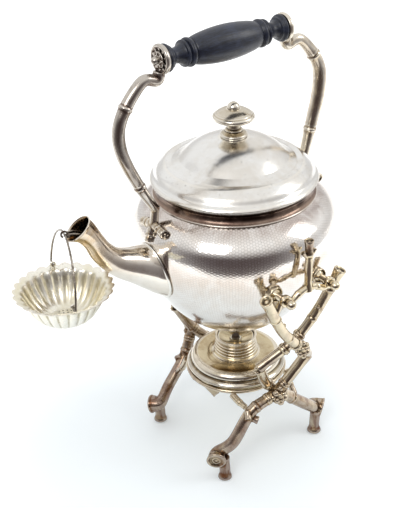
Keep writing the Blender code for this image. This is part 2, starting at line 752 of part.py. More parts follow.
def stand_paths(side):
    """Centre lines of one side's four stems, with y as a distance from the middle."""
    top_fore = (kx - top_reach, top_y, top_z)
    top_aft = (kx + top_reach, top_y, top_z)
    cross_out = (kx + cross_reach, cross_y + half_layer, cross_z)
    cross_in = (kx + cross_reach, cross_y - half_layer, cross_z)
    corner_aft = (kx + corner_reach, corner_y + half_layer, corner_z)
    corner_fore = (kx - corner_reach, corner_y - half_layer, corner_z)
    low_out = (kx + low_cross_reach, low_cross_y + half_layer, low_cross_z)
    low_in = (kx + low_cross_reach, low_cross_y - half_layer, low_cross_z)
    foot_fore = (kx - foot_reach, foot_y, foot_z)
    foot_aft = (kx + foot_reach, foot_y, foot_z)
    bowed = list(blend(top_aft, cross_in, 0.62))
    bowed[0] += stem_bow
    stem_mid = blend(top_fore, cross_out, 0.55)
    stem_mid = (stem_mid[0] - stem_fore_bow * 0.6, stem_mid[1], stem_mid[2] - stem_fore_bow * 0.8)
    # the fore leg bends across its own line: an arch on the near side, a sag on the far one
    bends = ((0.33, leg_arch), (0.72, 0.0)) if side == left else ((0.33, -leg_sag), (0.72, -leg_sag))
    across_leg = Vector((low_out[2] - foot_fore[2], 0, foot_fore[0] - low_out[0])).normalized()
    knees = [Vector(blend(low_out, foot_fore, share)) - across_leg * bend for share, bend in bends]
    knee_aft = blend(low_in, foot_aft, 0.78)
    knee_aft = (knee_aft[0] - stem_bow * 0.3, knee_aft[1], knee_aft[2] - stem_bow * 0.4)
    meet_aft = blend(cross_out, corner_aft, 0.92)
    meet_fore = blend(low_in, corner_fore, 0.90)
    return {
        "stem_fore": [top_fore, stem_mid, cross_out, meet_aft],
        "stem_aft": [top_aft, tuple(bowed), cross_in, corner_fore],
        "leg_fore": [corner_aft, low_out, tuple(knees[0]), tuple(knees[1]), foot_fore],
        "leg_aft": [meet_fore, low_in, knee_aft, foot_aft]}


looks = {     # start radius, end radius, knots, flares at the start and at the end
    "stem_fore": (stem_radius, stem_radius, (0.22, 0.50), (top_flare / stem_radius, 1.0)),
    "stem_aft": (stem_radius, stem_radius, (0.18, 0.47), (top_flare / stem_radius, 1.2)),
    "leg_fore": (stem_radius, leg_radius, (0.50, 0.78), (1.3, foot_flare / leg_radius)),
    "leg_aft": (stem_radius, leg_radius, (0.58, 0.80), (1.0, foot_flare / leg_radius))}


def stem(name, kind, side, extra=0.0, cutter=False):
    start, end, knots, flare = looks[kind]
    return bamboo(name, mirrored(stand_paths(side)[kind], side), start, end, knots,
                  None if cutter else stand_silver, flare=flare, extra=extra, cutter=cutter,
                  count=11)


for side, hand in ((left, "left"), (right, "right")):
    made = {kind: stem(f"{kind}_{hand}", kind, side) for kind in looks}
    # lower ends of the upper stems meet the legs' upper ends
    cut(made["stem_fore"], stem(f"cut_stem_fore_{hand}", "leg_fore", side, gap, True))
    cut(made["leg_aft"], stem(f"cut_leg_aft_{hand}", "stem_aft", side, gap, True))
    for end, label in ((fore, "fore"), (aft, "aft")):
        # crook under each stud, cut out round it
        path = stand_paths(side)[f"stem_{label}"]
        low = Vector(blend(path[0], path[1], 0.55 if end == fore else 0.40))
        low.y *= side
        crook_y = eye_in - 2 * gap - crook_radius
        tip = Vector((kx + end * stud_reach, side * crook_y, stud_z - stud_neck_radius * 0.4))
        crook = bamboo(f"crook_{hand}_{label}", [low, tip], crook_radius, crook_radius,
                       (), None, count=3, cutter=True, pinch=1.0)
        rest = cylinder(f"rest_{hand}_{label}",
                        (kx + end * stud_reach, side * (flange_y - overrun), stud_z),
                        (kx + end * stud_reach, side * (eye_out + overrun), stud_z),
                        stud_neck_radius + gap, None, cutter=True, sides=14)
        above = cylinder(f"above_{hand}_{label}",
                         (kx + end * stud_reach, side * top_y, stud_z),
                         (kx + end * stud_reach, side * top_y, stud_z + stem_radius * 3),
                         stem_radius * 1.2, None, cutter=True, sides=12)
        join(made[f"stem_{label}"], crook)
        cut(made[f"stem_{label}"], rest, above)
        # foot stub under each leg's end
        stub_x = kx + end * (foot_reach - foot_stub_inset)
        stub = turned(f"stub_{hand}_{label}", [
            (0.0, foot_z), (foot_stub_waist, foot_z), (foot_stub_waist, foot_z * 0.50),
            (foot_stub_waist * 1.12, foot_z * 0.30), (foot_stub_radius * 0.94, foot_z * 0.12),
            (foot_stub_radius, foot_z * 0.05), (foot_stub_radius * 0.97, 0.0), (0.0, 0.0)],
            None, steps=12, cutter=True, place=Matrix.Translation((stub_x, side * foot_y, 0)))
        join(made[f"leg_{label}"], stub)

# Lashings at the crossings
bead_shares = [          # place across, up, and size of each bead in the cluster
    (0.00, 0.00, 1.00), (0.85, 0.55, 0.80), (-0.80, 0.60, 0.74), (0.75, -0.70, 0.84),
    (-0.78, -0.62, 0.78), (0.05, 1.05, 0.66), (-0.05, -1.20, 0.76)]
knot_bead = 0.0040
for side, hand in ((left, "left"), (right, "right")):
    for kind, at_x, at_y, at_z, size, under in (
            ("upper", cross_reach, cross_y, cross_z, 1.0, "stem_fore"),
            ("lower", low_cross_reach, low_cross_y, low_cross_z, 1.15, "leg_fore")):
        bead = knot_bead * size
        y = at_y + half_layer + stem_radius * 0.62
        cluster = None
        for i, (across, up, share) in enumerate(bead_shares):
            centre = (kx + at_x + across * bead, side * y, at_z + up * bead)
            name = f"knot_{kind}_{hand}" if i == 0 else f"bead_{kind}_{hand}_{i}"
            shape = ball(name, centre, bead * share, stand_silver if i == 0 else None,
                         cutter=i > 0, rows=4, columns=6)
            if i == 0:
                cluster = shape
            else:
                join(cluster, shape)
        cut(cluster, stem(f"knot_seat_{kind}_{hand}", under, side, gap, True))

# Lamp hoop and struts
hoop_outline = [(hoop_radius + hoop_thickness * math.cos(a), hoop_z + hoop_thickness * math.sin(a))
                for a in (-math.radians(60 * i) for i in range(6))]
hoop = turned("lamp_hoop", hoop_outline, stand_silver, steps=32, closed=True, place=axis_place)
for side, hand in ((left, "left"), (right, "right")):
    a = math.radians(tab_angle)
    out = Vector((-math.cos(a), side * math.sin(a), 0))
    across = Vector((-side * math.sin(a), -math.cos(a), 0)) * side
    root = Vector((kx, 0, hoop_z)) + out * hoop_radius
    tip = root + out * (-tab_length * 0.35) + Vector((0, 0, -tab_length))
    rings = []
    for centre, half in ((root, tab_width / 2), ((root + tip) / 2, tab_width * 0.36),
                         (tip, tab_width * 0.06)):
        thick = out * tab_thickness / 2
        rings.append([centre - across * half - thick, centre + across * half - thick,
                      centre + across * half + thick, centre - across * half + thick])
    join(hoop, loft(f"tab_{hand}", rings, None, cutter=True))
    cut(hoop, stem(f"hoop_notch_{hand}", "leg_aft", side, gap, True))
    for end, label in ((fore, "fore"), (aft, "aft")):
        y_hoop = math.sqrt(hoop_radius ** 2 - strut_reach ** 2)
        foot_at = min(along(stand_paths(side)[f"leg_{label}"], 121),
                      key=lambda p: abs(p.x - kx - end * strut_reach))
        strut = bamboo(f"strut_{label}_{hand}", [
            (kx + end * strut_reach * 1.03, side * (y_hoop + hoop_thickness), hoop_z - hoop_thickness),
            (kx + end * strut_reach, side * foot_at.y, foot_at.z)],
            strut_radius * 1.15, strut_radius, (0.55,), stand_silver, count=6, swell=1.2)
        hoop_ring = turned(f"hoop_clear_{label}_{hand}", [
            (hoop_radius + (hoop_thickness + gap) * math.cos(b),
             hoop_z + (hoop_thickness + gap) * math.sin(b))
            for b in (-math.radians(60 * i) for i in range(6))],
            None, steps=32, closed=True, cutter=True, place=axis_place)
        cut(strut, hoop_ring, stem(f"strut_seat_{label}_{hand}", f"leg_{label}", side, gap, True))

# Lamp
lamp_outer = [
    (lamp_throat, lamp_top_z), (lamp_radius * 0.62, lamp_top_z),
    (lamp_radius * 0.86, lamp_top_z - 0.2 * lamp_bead),
    (lamp_radius * 0.945, lamp_top_z - 1.2 * lamp_bead), (lamp_radius * 0.965, lamp_top_z - 2.4 * lamp_bead),
    (lamp_radius + lamp_bead * 0.2, lamp_top_z - 2.9 * lamp_bead),
    (lamp_radius + lamp_bead * 0.3, lamp_top_z - 3.8 * lamp_bead),
    (lamp_radius - lamp_bead * 0.3, lamp_top_z - 4.4 * lamp_bead),
    (lamp_radius + lamp_bead, lamp_top_z - 5.0 * lamp_bead),
    (lamp_radius + lamp_bead, lamp_top_z - 5.8 * lamp_bead),
    (lamp_radius - lamp_bead * 0.4, lamp_top_z - 6.6 * lamp_bead),
    (lamp_radius * 0.955, lamp_top_z - 8.6 * lamp_bead),
    (lamp_radius * 0.88, lamp_bottom_z + 9.5 * wall),
    (lamp_radius * 0.72, lamp_bottom_z + 4.2 * wall),
    (lamp_radius * 0.50, lamp_bottom_z + 1.2 * wall),
    (lamp_radius * 0.30, lamp_bottom_z), (0.0, lamp_bottom_z)]
lamp_inner = [
    (0.0, lamp_bottom_z + wall), (lamp_radius * 0.46, lamp_bottom_z + 2.4 * wall),
    (lamp_radius * 0.82, lamp_bottom_z + 10 * wall), (lamp_radius * 0.90, lamp_top_z - 5 * lamp_bead),
    (lamp_radius * 0.84, lamp_top_z - 1.4 * lamp_bead), (lamp_throat, lamp_top_z - wall)]
lamp = turned("lamp_reservoir", lamp_inner + lamp_outer, silver, steps=22, place=axis_place)

collar_base = lamp_top_z + gap
collar_top = collar_base + collar_height
collar_outline = [(collar_radius - collar_wall, collar_top), (collar_radius, collar_top),
                  (collar_radius, collar_top - collar_wall),
                  (collar_radius * 0.94, collar_top - 1.6 * collar_wall)]
ring_top = collar_top - collar_height * 0.28
pitch = (ring_top - collar_base) / collar_rings
for i in range(collar_rings):
    z = ring_top - pitch * i
    grow = 1.0 + 0.03 * i
    collar_outline += [(collar_radius * 0.92 * grow, z - pitch * 0.1),
                       (collar_radius * grow, z - pitch * 0.45)]
collar_outline += [(collar_radius * 1.14, collar_base), (lamp_throat * 0.62, collar_base),
                   (lamp_throat * 0.62, collar_base + collar_wall),
                   (lamp_throat * 0.84, collar_base + collar_wall),
                   (collar_radius - collar_wall, collar_base + 3.0 * collar_wall)]
collar = turned("burner_collar", collar_outline, silver, steps=18, closed=True, place=axis_place)

burner_floor = collar_base + collar_wall + gap
tube_top = collar_top - collar_height * 0.25
wick_tube = turned("wick_tube", [
    (wick_tube_radius, tube_top), (wick_tube_radius, burner_floor + collar_wall),
    (lamp_throat * 0.80, burner_floor + collar_wall), (lamp_throat * 0.80, burner_floor),
    (wick_radius + gap, burner_floor), (wick_radius + gap, tube_top)],
    silver, steps=16, closed=True, place=axis_place)
wick = turned("wick", [
    (0.0, tube_top + wick_rise), (wick_radius * 0.8, tube_top + wick_rise * 0.9),
    (wick_radius, tube_top + wick_rise * 0.4), (wick_radius, lamp_bottom_z + 6 * wall),
    (0.0, lamp_bottom_z + 6 * wall)], cotton, steps=12, place=axis_place)

# Strainer
strainer_x = kettle_x - strainer_reach
turn = Matrix.Rotation(-math.radians(strainer_turn), 4, "Z")
strainer_place = Matrix.Translation((strainer_x, 0, bowl_z)) @ turn
# radius share, depth share, flute share
bowl_rows = [(1.00, 0.00, 1.0), (0.92, 0.12, 1.0), (0.78, 0.48, 0.9), (0.54, 0.85, 0.6)]
shape = bmesh.new()
per_flute = 2
count = bowl_flutes * per_flute
rows = []
for radius, depth, flute in bowl_rows:
    row = []
    for i in range(count):
        a = 2 * math.pi * i / count
        wave = math.cos(a * bowl_flutes) * bowl_scallop * flute
        r = bowl_radius * radius + wave
        row.append(shape.verts.new((r * math.cos(a), r * math.sin(a), -bowl_depth * depth)))
    rows.append(row)
base_row = []
for i in range(count):
    a = 2 * math.pi * i / count
    base_row.append(shape.verts.new((bowl_foot_radius * math.cos(a), bowl_foot_radius * math.sin(a),
                                     -bowl_depth)))
rows.append(base_row)
for high, low in zip(rows, rows[1:]):
    for i in range(count):
        j = (i + 1) % count
        shape.faces.new((high[i], low[i], low[j], high[j]))
shape.faces.new(base_row)
bmesh.ops.recalc_face_normals(shape, faces=shape.faces)
bowl_mesh = bpy.data.meshes.new("strainer_bowl")
shape.to_mesh(bowl_mesh)
shape.free()
bowl = add_object("strainer_bowl", bowl_mesh, pale_silver)
bowl.matrix_world = strainer_place
sheet = bowl.modifiers.new("sheet", "SOLIDIFY")
sheet.thickness = bowl_sheet
sheet.offset = -1.0

bail_half = bowl_radius + bail_margin
lug_y = bowl_radius - bowl_scallop - bowl_sheet - lug_thickness
for side, hand in ((left, "left"), (right, "right")):
    y_in, y_out = side * (lug_y - lug_thickness / 2), side * (lug_y + lug_thickness / 2)
    lug = cylinder(f"strainer_lug_{hand}", (0, y_in, lug_z), (0, y_out, lug_z), lug_radius,
                   pale_silver, sides=12)
    lug.matrix_world = strainer_place @ lug.matrix_world
    post = loft(f"lug_post_{hand}", [
        [Vector((x, y, z)) for x, y in ((-lug_radius * 0.7, y_in), (lug_radius * 0.7, y_in),
                                        (lug_radius * 0.7, y_out), (-lug_radius * 0.7, y_out))]
        for z in (-bowl_sheet * 2, lug_z)], None, cutter=True)
    post.matrix_world = strainer_place
    hole = cylinder(f"lug_hole_{hand}", (0, y_in - side * overrun, lug_z),
                    (0, y_out + side * overrun, lug_z), wire_radius + gap, None, cutter=True,
                    sides=10)
    hole.matrix_world = strainer_place @ hole.matrix_world
    join(lug, post)
    cut(lug, hole)

def bail_point(y, z):
    lean = bail_lean * max(0.0, z - lug_z) / bail_rise
    return (lean, y, z)


bail_path = []
bail_shares = [(1.00, 0.06), (0.95, 0.30), (0.79, 0.58), (0.55, 0.81), (0.27, 0.96), (0.10, 1.00)]
inner_end = lug_y - lug_thickness * 1.4
for sign in (left, right):
    half = [bail_point(sign * inner_end, lug_z), bail_point(sign * (bail_half - wire_radius), lug_z)]
    half += [bail_point(sign * bail_half * s, lug_z + wire_radius + bail_rise * h)
             for s, h in bail_shares]
    bail_path += half if sign == left else half[::-1]
bail = tube("strainer_bail", bail_path, [wire_radius] * len(bail_path), pale_silver)
bail.matrix_world = strainer_place

# spring clip: an eye round the bail's top, and a prong over the lip into the spout
eye_at = strainer_place @ Vector(bail_point(0, lug_z + wire_radius + bail_rise))
eye_path = []
for i in range(11):
    a = math.radians(-40 + 28.0 * i)
    eye_path.append(Vector((clip_eye_radius * math.cos(a), 0, clip_eye_radius * math.sin(a))))
eye_path = [turn @ p + eye_at for p in eye_path]
mouth = Vector((kettle_x - spout_reach, 0, spout_mouth_z))
down = Vector((math.sin(slope), 0, -math.cos(slope)))
inward = Vector((math.cos(slope), 0, math.sin(slope)))
prong = [mouth - inward * spout_mouth_length * 0.62 - down * wire_radius * 3.2,
         mouth - inward * spout_mouth_length * 0.30 + down * wire_radius * 2.0,
         mouth + down * spout_mouth_length * 0.8]
clip_path = eye_path[::-1] + prong
clip = tube("spout_clip", clip_path, [wire_radius] * len(clip_path), steel)

# Move all, cutters too, so that the whole object's middle is the origin
strainer_front = strainer_reach + bowl_radius + bowl_scallop
handle_back = handle_shift + arm_bow_reach + arm_radius * 1.1
middle_x = (strainer_front - handle_back) / 2
bpy.context.view_layer.update()
for obj in list(parts.objects) + list(tools.objects):
    obj.matrix_world = Matrix.Translation((middle_x, 0, 0)) @ obj.matrix_world
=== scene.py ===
"""Spirit kettle on its bamboo-form stand: the looks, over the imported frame."""
import math

import bmesh
import bpy
import numpy as np
from mathutils import Matrix, Vector, noise


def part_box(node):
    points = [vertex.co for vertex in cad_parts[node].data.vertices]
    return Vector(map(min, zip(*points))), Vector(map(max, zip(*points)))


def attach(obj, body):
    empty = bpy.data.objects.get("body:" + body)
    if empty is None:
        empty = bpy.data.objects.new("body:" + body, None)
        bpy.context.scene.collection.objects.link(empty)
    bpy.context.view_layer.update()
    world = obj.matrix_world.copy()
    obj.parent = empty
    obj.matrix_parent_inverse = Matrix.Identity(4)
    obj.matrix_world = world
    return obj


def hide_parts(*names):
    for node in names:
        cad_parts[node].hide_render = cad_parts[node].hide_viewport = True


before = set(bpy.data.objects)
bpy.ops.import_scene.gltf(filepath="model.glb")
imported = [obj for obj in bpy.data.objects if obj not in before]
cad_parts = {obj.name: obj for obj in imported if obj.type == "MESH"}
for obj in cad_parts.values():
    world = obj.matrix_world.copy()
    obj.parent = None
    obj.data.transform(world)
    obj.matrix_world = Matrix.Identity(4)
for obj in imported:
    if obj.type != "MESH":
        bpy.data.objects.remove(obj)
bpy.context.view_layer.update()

low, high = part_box("kettle_body")
kettle_x = (low[0] + high[0]) / 2       # the kettle's own axis, as in the frame
gap = 0.0003
left, right = -1.0, 1.0
fore, aft = -1.0, 1.0


# Materials


def colour(code):
    """sRGB hex to linear RGBA."""
    parts = [int(code[i:i + 2], 16) / 255 for i in (1, 3, 5)]
    return [c / 12.92 if c <= 0.04045 else ((c + 0.055) / 1.055) ** 2.4 for c in parts] + [1.0]


class Nodes:
    """A node tree, with short calls that add and join nodes."""

    def __init__(self, tree):
        self.nodes, self.links = tree.nodes, tree.links

    def add(self, kind, values=None, **settings):
        node = self.nodes.new(kind)
        for key, value in settings.items():
            setattr(node, key, value)
        for key, value in (values or {}).items():
            self.put(node.inputs[key], value)
        return node

    def put(self, socket, value):
        if isinstance(value, bpy.types.NodeSocket):
            self.links.new(value, socket)
        else:
            socket.default_value = value

    def math(self, operation, a, b=0.5, clamp=False):
        return self.add("ShaderNodeMath", {0: a, 1: b}, operation=operation,
                        use_clamp=clamp).outputs[0]

    def ramp(self, value, low, high, out_low=0.0, out_high=1.0):
        return self.add("ShaderNodeMapRange", {0: value, 1: low, 2: high, 3: out_low, 4: out_high},
                        interpolation_type="SMOOTHSTEP").outputs[0]

    def mix(self, share, a, b):
        return self.add("ShaderNodeMix", {0: share, 6: a, 7: b}, data_type="RGBA").outputs[2]


class Tree(Nodes):
    """A material's nodes."""

    def __init__(self, name, roughness=0.4, metallic=0.0):
        self.mat = bpy.data.materials.new(name)
        self.mat.use_nodes = True
        super().__init__(self.mat.node_tree)
        self.shader = self.nodes["Principled BSDF"]
        self.shader.inputs["Roughness"].default_value = roughness
        self.shader.inputs["Metallic"].default_value = metallic
        self.place = self.add("ShaderNodeTexCoord").outputs["Object"]

    def noise(self, scale, detail=3.0, rough=0.55, at=None, distortion=0.0):
        return self.add("ShaderNodeTexNoise", {
            "Vector": at or self.place, "Scale": scale, "Detail": detail, "Roughness": rough,
            "Distortion": distortion}).outputs["Fac"]

    def stretched(self, scale):
        return self.add("ShaderNodeMapping", {"Vector": self.place, "Scale": scale}).outputs[0]

    def attribute(self, name):
        return self.add("ShaderNodeAttribute", attribute_name=name).outputs["Fac"]

    def bump(self, height, distance, strength=1.0, under=None):
        node = self.add("ShaderNodeBump", {"Height": height, "Distance": distance,
                                           "Strength": strength})
        if under:
            self.put(node.inputs["Normal"], under)
        return node.outputs[0]

    def finish(self, **sockets):
        for key, value in sockets.items():
            self.put(self.shader.inputs[key.replace("_", " ")], value)
        return self.mat


def silver(name, base, warm, dark, roughness, stain=0.5, cavity=0.0, grain=0.5, hammer=0.0,
           veils=(), bright=0.55):
    """Silver plate: warm tarnish in patches, dark in hollows, bright on edges, fine scratches.

    A veil is (axis, clear at, full at, gone at, colour, share): a colour gathered in one zone,
    used both for tarnish and for painted shade, light and reflection.
    """
    t = Tree(name, roughness, 1.0)
    broad = t.noise(19.0, 4.0, 0.6, distortion=0.6)
    fine = t.noise(150.0, 4.0, 0.65)
    spots = t.noise(520.0, 2.0, 0.5)
    patch = t.ramp(t.math("ADD", t.math("MULTIPLY", broad, 0.70), t.math("MULTIPLY", fine, 0.30)),
                   0.40, 0.64, 0.0, stain)
    shade = t.mix(patch, colour(base), colour(warm))
    if veils:
        axes = t.add("ShaderNodeSeparateXYZ", {0: t.place}).outputs
        drift = t.ramp(t.noise(46.0, 4.0, 0.65, distortion=1.0), 0.34, 0.62, 0.35, 1.0)
    for axis, clear, full, gone, code, share in veils:
        zone = t.math("MULTIPLY", t.ramp(axes[axis], clear, full),
                      t.ramp(axes[axis], full, gone, share, 0.0))
        shade = t.mix(t.math("MULTIPLY", zone, drift), shade, colour(code))
    if cavity:
        hollow = t.ramp(t.attribute("cavity"), 0.36, 0.90, 0.0, cavity)
        hollow = t.math("MULTIPLY", hollow, t.ramp(fine, 0.25, 0.7, 0.60, 1.15), clamp=True)
        shade = t.mix(hollow, shade, colour(dark))
        edge = t.ramp(t.attribute("cavity"), 0.04, 0.24, bright, 0.0)
        shade = t.mix(edge, shade, colour("#efeae0"))
    specks = t.math("MULTIPLY", t.ramp(spots, 0.66, 0.78), 0.35)
    shade = t.mix(specks, shade, colour(dark))
    rough = t.math("ADD", t.ramp(broad, 0.3, 0.7, roughness * 0.8, roughness * 1.3),
                   t.math("MULTIPLY", patch, 0.08))
    scratch = t.noise(1.0, 5.0, 0.7, at=t.stretched((900.0, 900.0, 260.0)))
    normal = t.bump(scratch, 0.000012, grain)
    normal = t.bump(fine, 0.00010, grain * 0.5, normal)
    if hammer:
        # planished in a fine honeycomb: three crossed waves, shaken a little by noise
        shake = t.add("ShaderNodeTexNoise", {"Vector": t.place, "Scale": 260.0, "Detail": 1.0})
        moved = t.add("ShaderNodeVectorMath", {0: shake.outputs["Color"], 1: (0.5, 0.5, 0.5)},
                      operation="MULTIPLY").outputs[0]
        moved = t.add("ShaderNodeVectorMath", {
            0: t.add("ShaderNodeUVMap", uv_map="cells").outputs[0], 1: moved},
            operation="ADD").outputs[0]
        waves = None
        for x, y in ((2.0, 0.0), (1.0, 3 ** 0.5), (1.0, -3 ** 0.5)):
            phase = t.add("ShaderNodeVectorMath", {0: moved, 1: (x * math.pi, y * math.pi, 0.0)},
                          operation="DOT_PRODUCT").outputs["Value"]
            wave = t.math("COSINE", phase)
            waves = t.math("ADD", waves, wave) if waves else wave
        depth = t.ramp(broad, 0.35, 0.65, 0.5, 1.0)
        normal = t.bump(t.math("MULTIPLY", waves, depth), -hammer, 1.0, normal)
        shade = t.mix(t.ramp(waves, 0.3, -1.4, 0.0, 0.16), shade, colour(dark))
    return t.finish(Base_Color=shade, Roughness=rough, Normal=normal)


# silver plate over brass, planished on the belly
belly_silver = silver("silver_plate_planished", "#f2efeb", "#d3c4b4", "#64564c", 0.11, 0.34,
                      grain=0.4, hammer=0.0000065,
                      # veils: a brown-violet band under the neck, partly tarnish and partly a
                      # painted reflection of the neck; a warm band just below the middle, lighter
                      # downward, a painted reflection
                      veils=[(2, 0.2340, 0.2425, 0.2750, "#92796d", 0.55),
                             (2, 0.175, 0.206, 0.222, "#c9ae95", 0.40)])
# the same plate burnished on the lid and round the spout's joint
smooth_silver = silver("silver_plate_burnished", "#eae9e6", "#cabca6", "#4a3c30", 0.19, 0.32,
                       cavity=0.70, grain=0.45)
# the knob keeps the yellow tarnish of handling
knob_silver = silver("silver_plate_knob", "#cfc6b5", "#ab9a7c", "#40332a", 0.20, 0.60,
                     cavity=0.85, grain=0.5)
# the neck, shaded by the lid and never polished, is brown and violet, partly tarnish and partly
# painted shade; the near-black band just under the lid is painted shade
neck_silver = silver("silver_plate_shaded", "#a08b7c", "#6f564c", "#2a1b16", 0.16, 0.80,
                     cavity=0.85, grain=0.5, veils=[(2, 0.2450, 0.2495, 0.2680, "#2b1b15", 0.95)])
# the golden veil towards the mouth is partly tarnish and partly a painted reflection
spout_silver = silver("silver_plate_spout", "#efe8de", "#c4b29b", "#4b3a31", 0.12, 0.42,
                      cavity=0.75, grain=0.45,
                      veils=[(0, -0.062, -0.092, -0.140, "#c8a468", 0.75)])
# cast and chased, with tarnish in the hollows
cast_silver = silver("cast_silver_tarnished", "#d4c4a3", "#6a4529", "#24150d", 0.14, 1.0,
                     cavity=0.95, grain=0.7, bright=0.26,
                     veils=[(2, -0.03, 0.0, 0.085, "#5f3520", 1.0),
                            (2, 0.062, 0.078, 0.125, "#775838", 0.66)])
# the aft side, past x 0.02, is made lighter as painted light; both arms are also lighter near
# their feet
arm_silver = silver("cast_silver_arms", "#95867b", "#4f3e36", "#221713", 0.15, 0.75,
                    cavity=0.95, grain=0.6, veils=[(0, 0.020, 0.060, 0.900, "#e2d2b6", 0.80),
                           (2, 0.262, 0.248, 0.100, "#d9c8aa", 0.60)])
# the dark band round the lamp's shoulder is a painted reflection of the dark room
lamp_silver = silver("silver_plate_lamp", "#d0c1a0", "#8f7042", "#3a2818", 0.15, 0.80,
                     cavity=0.9, grain=0.5, veils=[(2, 0.0700, 0.0790, 0.0850, "#45321f", 0.85)])
strainer_silver = silver("strainer_sheet_silver", "#f6f3e8", "#dccf9f", "#93855f", 0.26, 0.42,
                         cavity=0.60, grain=0.6)


def ebony_material():
    """Waxed ebony: fine grain along the grip, a soft sheen from the wax coat, and a cool sheen
    painted into its blue-grey colours.
    """
    t = Tree("turned_ebony_waxed", 0.36)
    grain = t.noise(1.0, 5.0, 0.7, at=t.stretched((45.0, 900.0, 900.0)))
    wear_and_sheen = t.noise(70.0, 4.0, 0.6)
    shade = t.mix(t.ramp(grain, 0.35, 0.75), colour("#10131e"), colour("#2a3145"))
    # lighter blue-grey patches: partly wear, partly painted sheen
    shade = t.mix(t.ramp(wear_and_sheen, 0.5, 0.75, 0.0, 0.4), shade, colour("#3f4862"))
    rough = t.ramp(wear_and_sheen, 0.3, 0.7, 0.28, 0.44)
    return t.finish(Base_Color=shade, Roughness=rough, Normal=t.bump(grain, 0.00008, 0.6),
                    Coat_Weight=0.15, Coat_Roughness=0.25)


def wire_material():
    """Drawn silvered wire, a little dull, brown where it twists."""
    t = Tree("drawn_silvered_wire", 0.25, 1.0)
    stain = t.noise(240.0, 3.0, 0.6)
    shade = t.mix(t.ramp(stain, 0.45, 0.7), colour("#9d958a"), colour("#4d4037"))
    lines = t.noise(1.0, 2.0, 0.5, at=t.stretched((2400.0, 2400.0, 300.0)))
    return t.finish(Base_Color=shade, Roughness=t.ramp(stain, 0.3, 0.7, 0.2, 0.38),
                    Normal=t.bump(lines, 0.00002, 0.5))


def cotton_material():
    """Braided cotton wick, charred at its top."""
    t = Tree("braided_cotton_charred", 0.9)
    braid = t.add("ShaderNodeTexWave", {"Vector": t.place, "Scale": 320.0, "Distortion": 3.0,
                                        "Detail": 2.0}, bands_direction="DIAGONAL").outputs["Fac"]
    height = t.add("ShaderNodeSeparateXYZ", {0: t.place}).outputs[2]
    shade = t.mix(braid, colour("#8d7c62"), colour("#cdbf9f"))
    shade = t.mix(t.ramp(height, 0.096, 0.100), shade, colour("#4a3c31"))
    return t.finish(Base_Color=shade, Normal=t.bump(braid, 0.0003, 0.8))


def steel_material():
    """Plain turned steel rod, lightly rusted."""
    t = Tree("plain_steel_rod", 0.35, 1.0)
    rust = t.noise(300.0, 4.0, 0.6)
    turning = t.noise(1.0, 2.0, 0.5, at=t.stretched((1800.0, 60.0, 60.0)))
    shade = t.mix(t.ramp(rust, 0.55, 0.75), colour("#9a9792"), colour("#6b4a35"))
    return t.finish(Base_Color=shade, Normal=t.bump(turning, 0.00002, 0.5),
                    Roughness=t.ramp(rust, 0.4, 0.7, 0.3, 0.55))


ebony = ebony_material()
wire = wire_material()
cotton = cotton_material()
steel = steel_material()


# Mesh helpers

def catmull(a, b, c, d, t):
    """Point at t between b and c, on a Catmull-Rom curve."""
    return (2 * b + (c - a) * t + (2 * a - 5 * b + 4 * c - d) * t * t
            + (3 * b - a - 3 * c + d) * t ** 3) / 2


def smooth_run(points, step):
    """Catmull-Rom run through the points, at about equal steps."""
    knots = [Vector(p) for p in points]
    knots = [2 * knots[0] - knots[1]] + knots + [2 * knots[-1] - knots[-2]]
    dense = []
    for k in range(1, len(knots) - 2):
        a, b, c, d = knots[k - 1:k + 3]
        for i in range(24):
            dense.append(catmull(a, b, c, d, i / 24))
    dense.append(knots[-2].copy())
    spans = [(q - p).length for p, q in zip(dense, dense[1:])]
    total = sum(spans)
    count = max(2, round(total / step))
    run, k, passed = [], 0, 0.0
    for i in range(count + 1):
        target = total * i / count
        while k < len(spans) - 1 and passed + spans[k] < target:
            passed += spans[k]
            k += 1
        share = (target - passed) / spans[k] if spans[k] else 0.0
        run.append(dense[k].lerp(dense[k + 1], min(1.0, share)))
    return run


def outline(*runs, step=0.0011):
    """Joins smooth runs of (radius, height) points, with a sharp corner between two runs.

    Each run after the first starts where the one before it ended.
    """
    points, last = [], []
    for run in runs:
        line = [Vector((r, h, 0)) for r, h in last + run]
        last = run[-1:]
        line = smooth_run(line, step) if len(line) > 2 else line
        for p in line:
            if not points or (p - points[-1]).length > 1e-6:
                points.append(p)
    return [(max(0.0, p.x), p.y) for p in points]


def shown(name, data):
    """A new object in the scene."""
    obj = bpy.data.objects.new(name, data)
    bpy.context.scene.collection.objects.link(obj)
    return obj


def applied(name, *objects):
    """Mesh of the first object with its modifiers applied; all the objects are dropped."""
    bpy.context.view_layer.update()
    mesh = bpy.data.meshes.new_from_object(
        objects[0].evaluated_get(bpy.context.evaluated_depsgraph_get()))
    for obj in objects:
        bpy.data.objects.remove(obj, do_unlink=True)
    mesh.name = name
    return mesh


def to_mesh(name, shape):
    bmesh.ops.remove_doubles(shape, verts=shape.verts, dist=1e-7)
    bmesh.ops.recalc_face_normals(shape, faces=shape.faces)
    mesh = bpy.data.meshes.new(name)
    shape.to_mesh(mesh)
    shape.free()
    return mesh


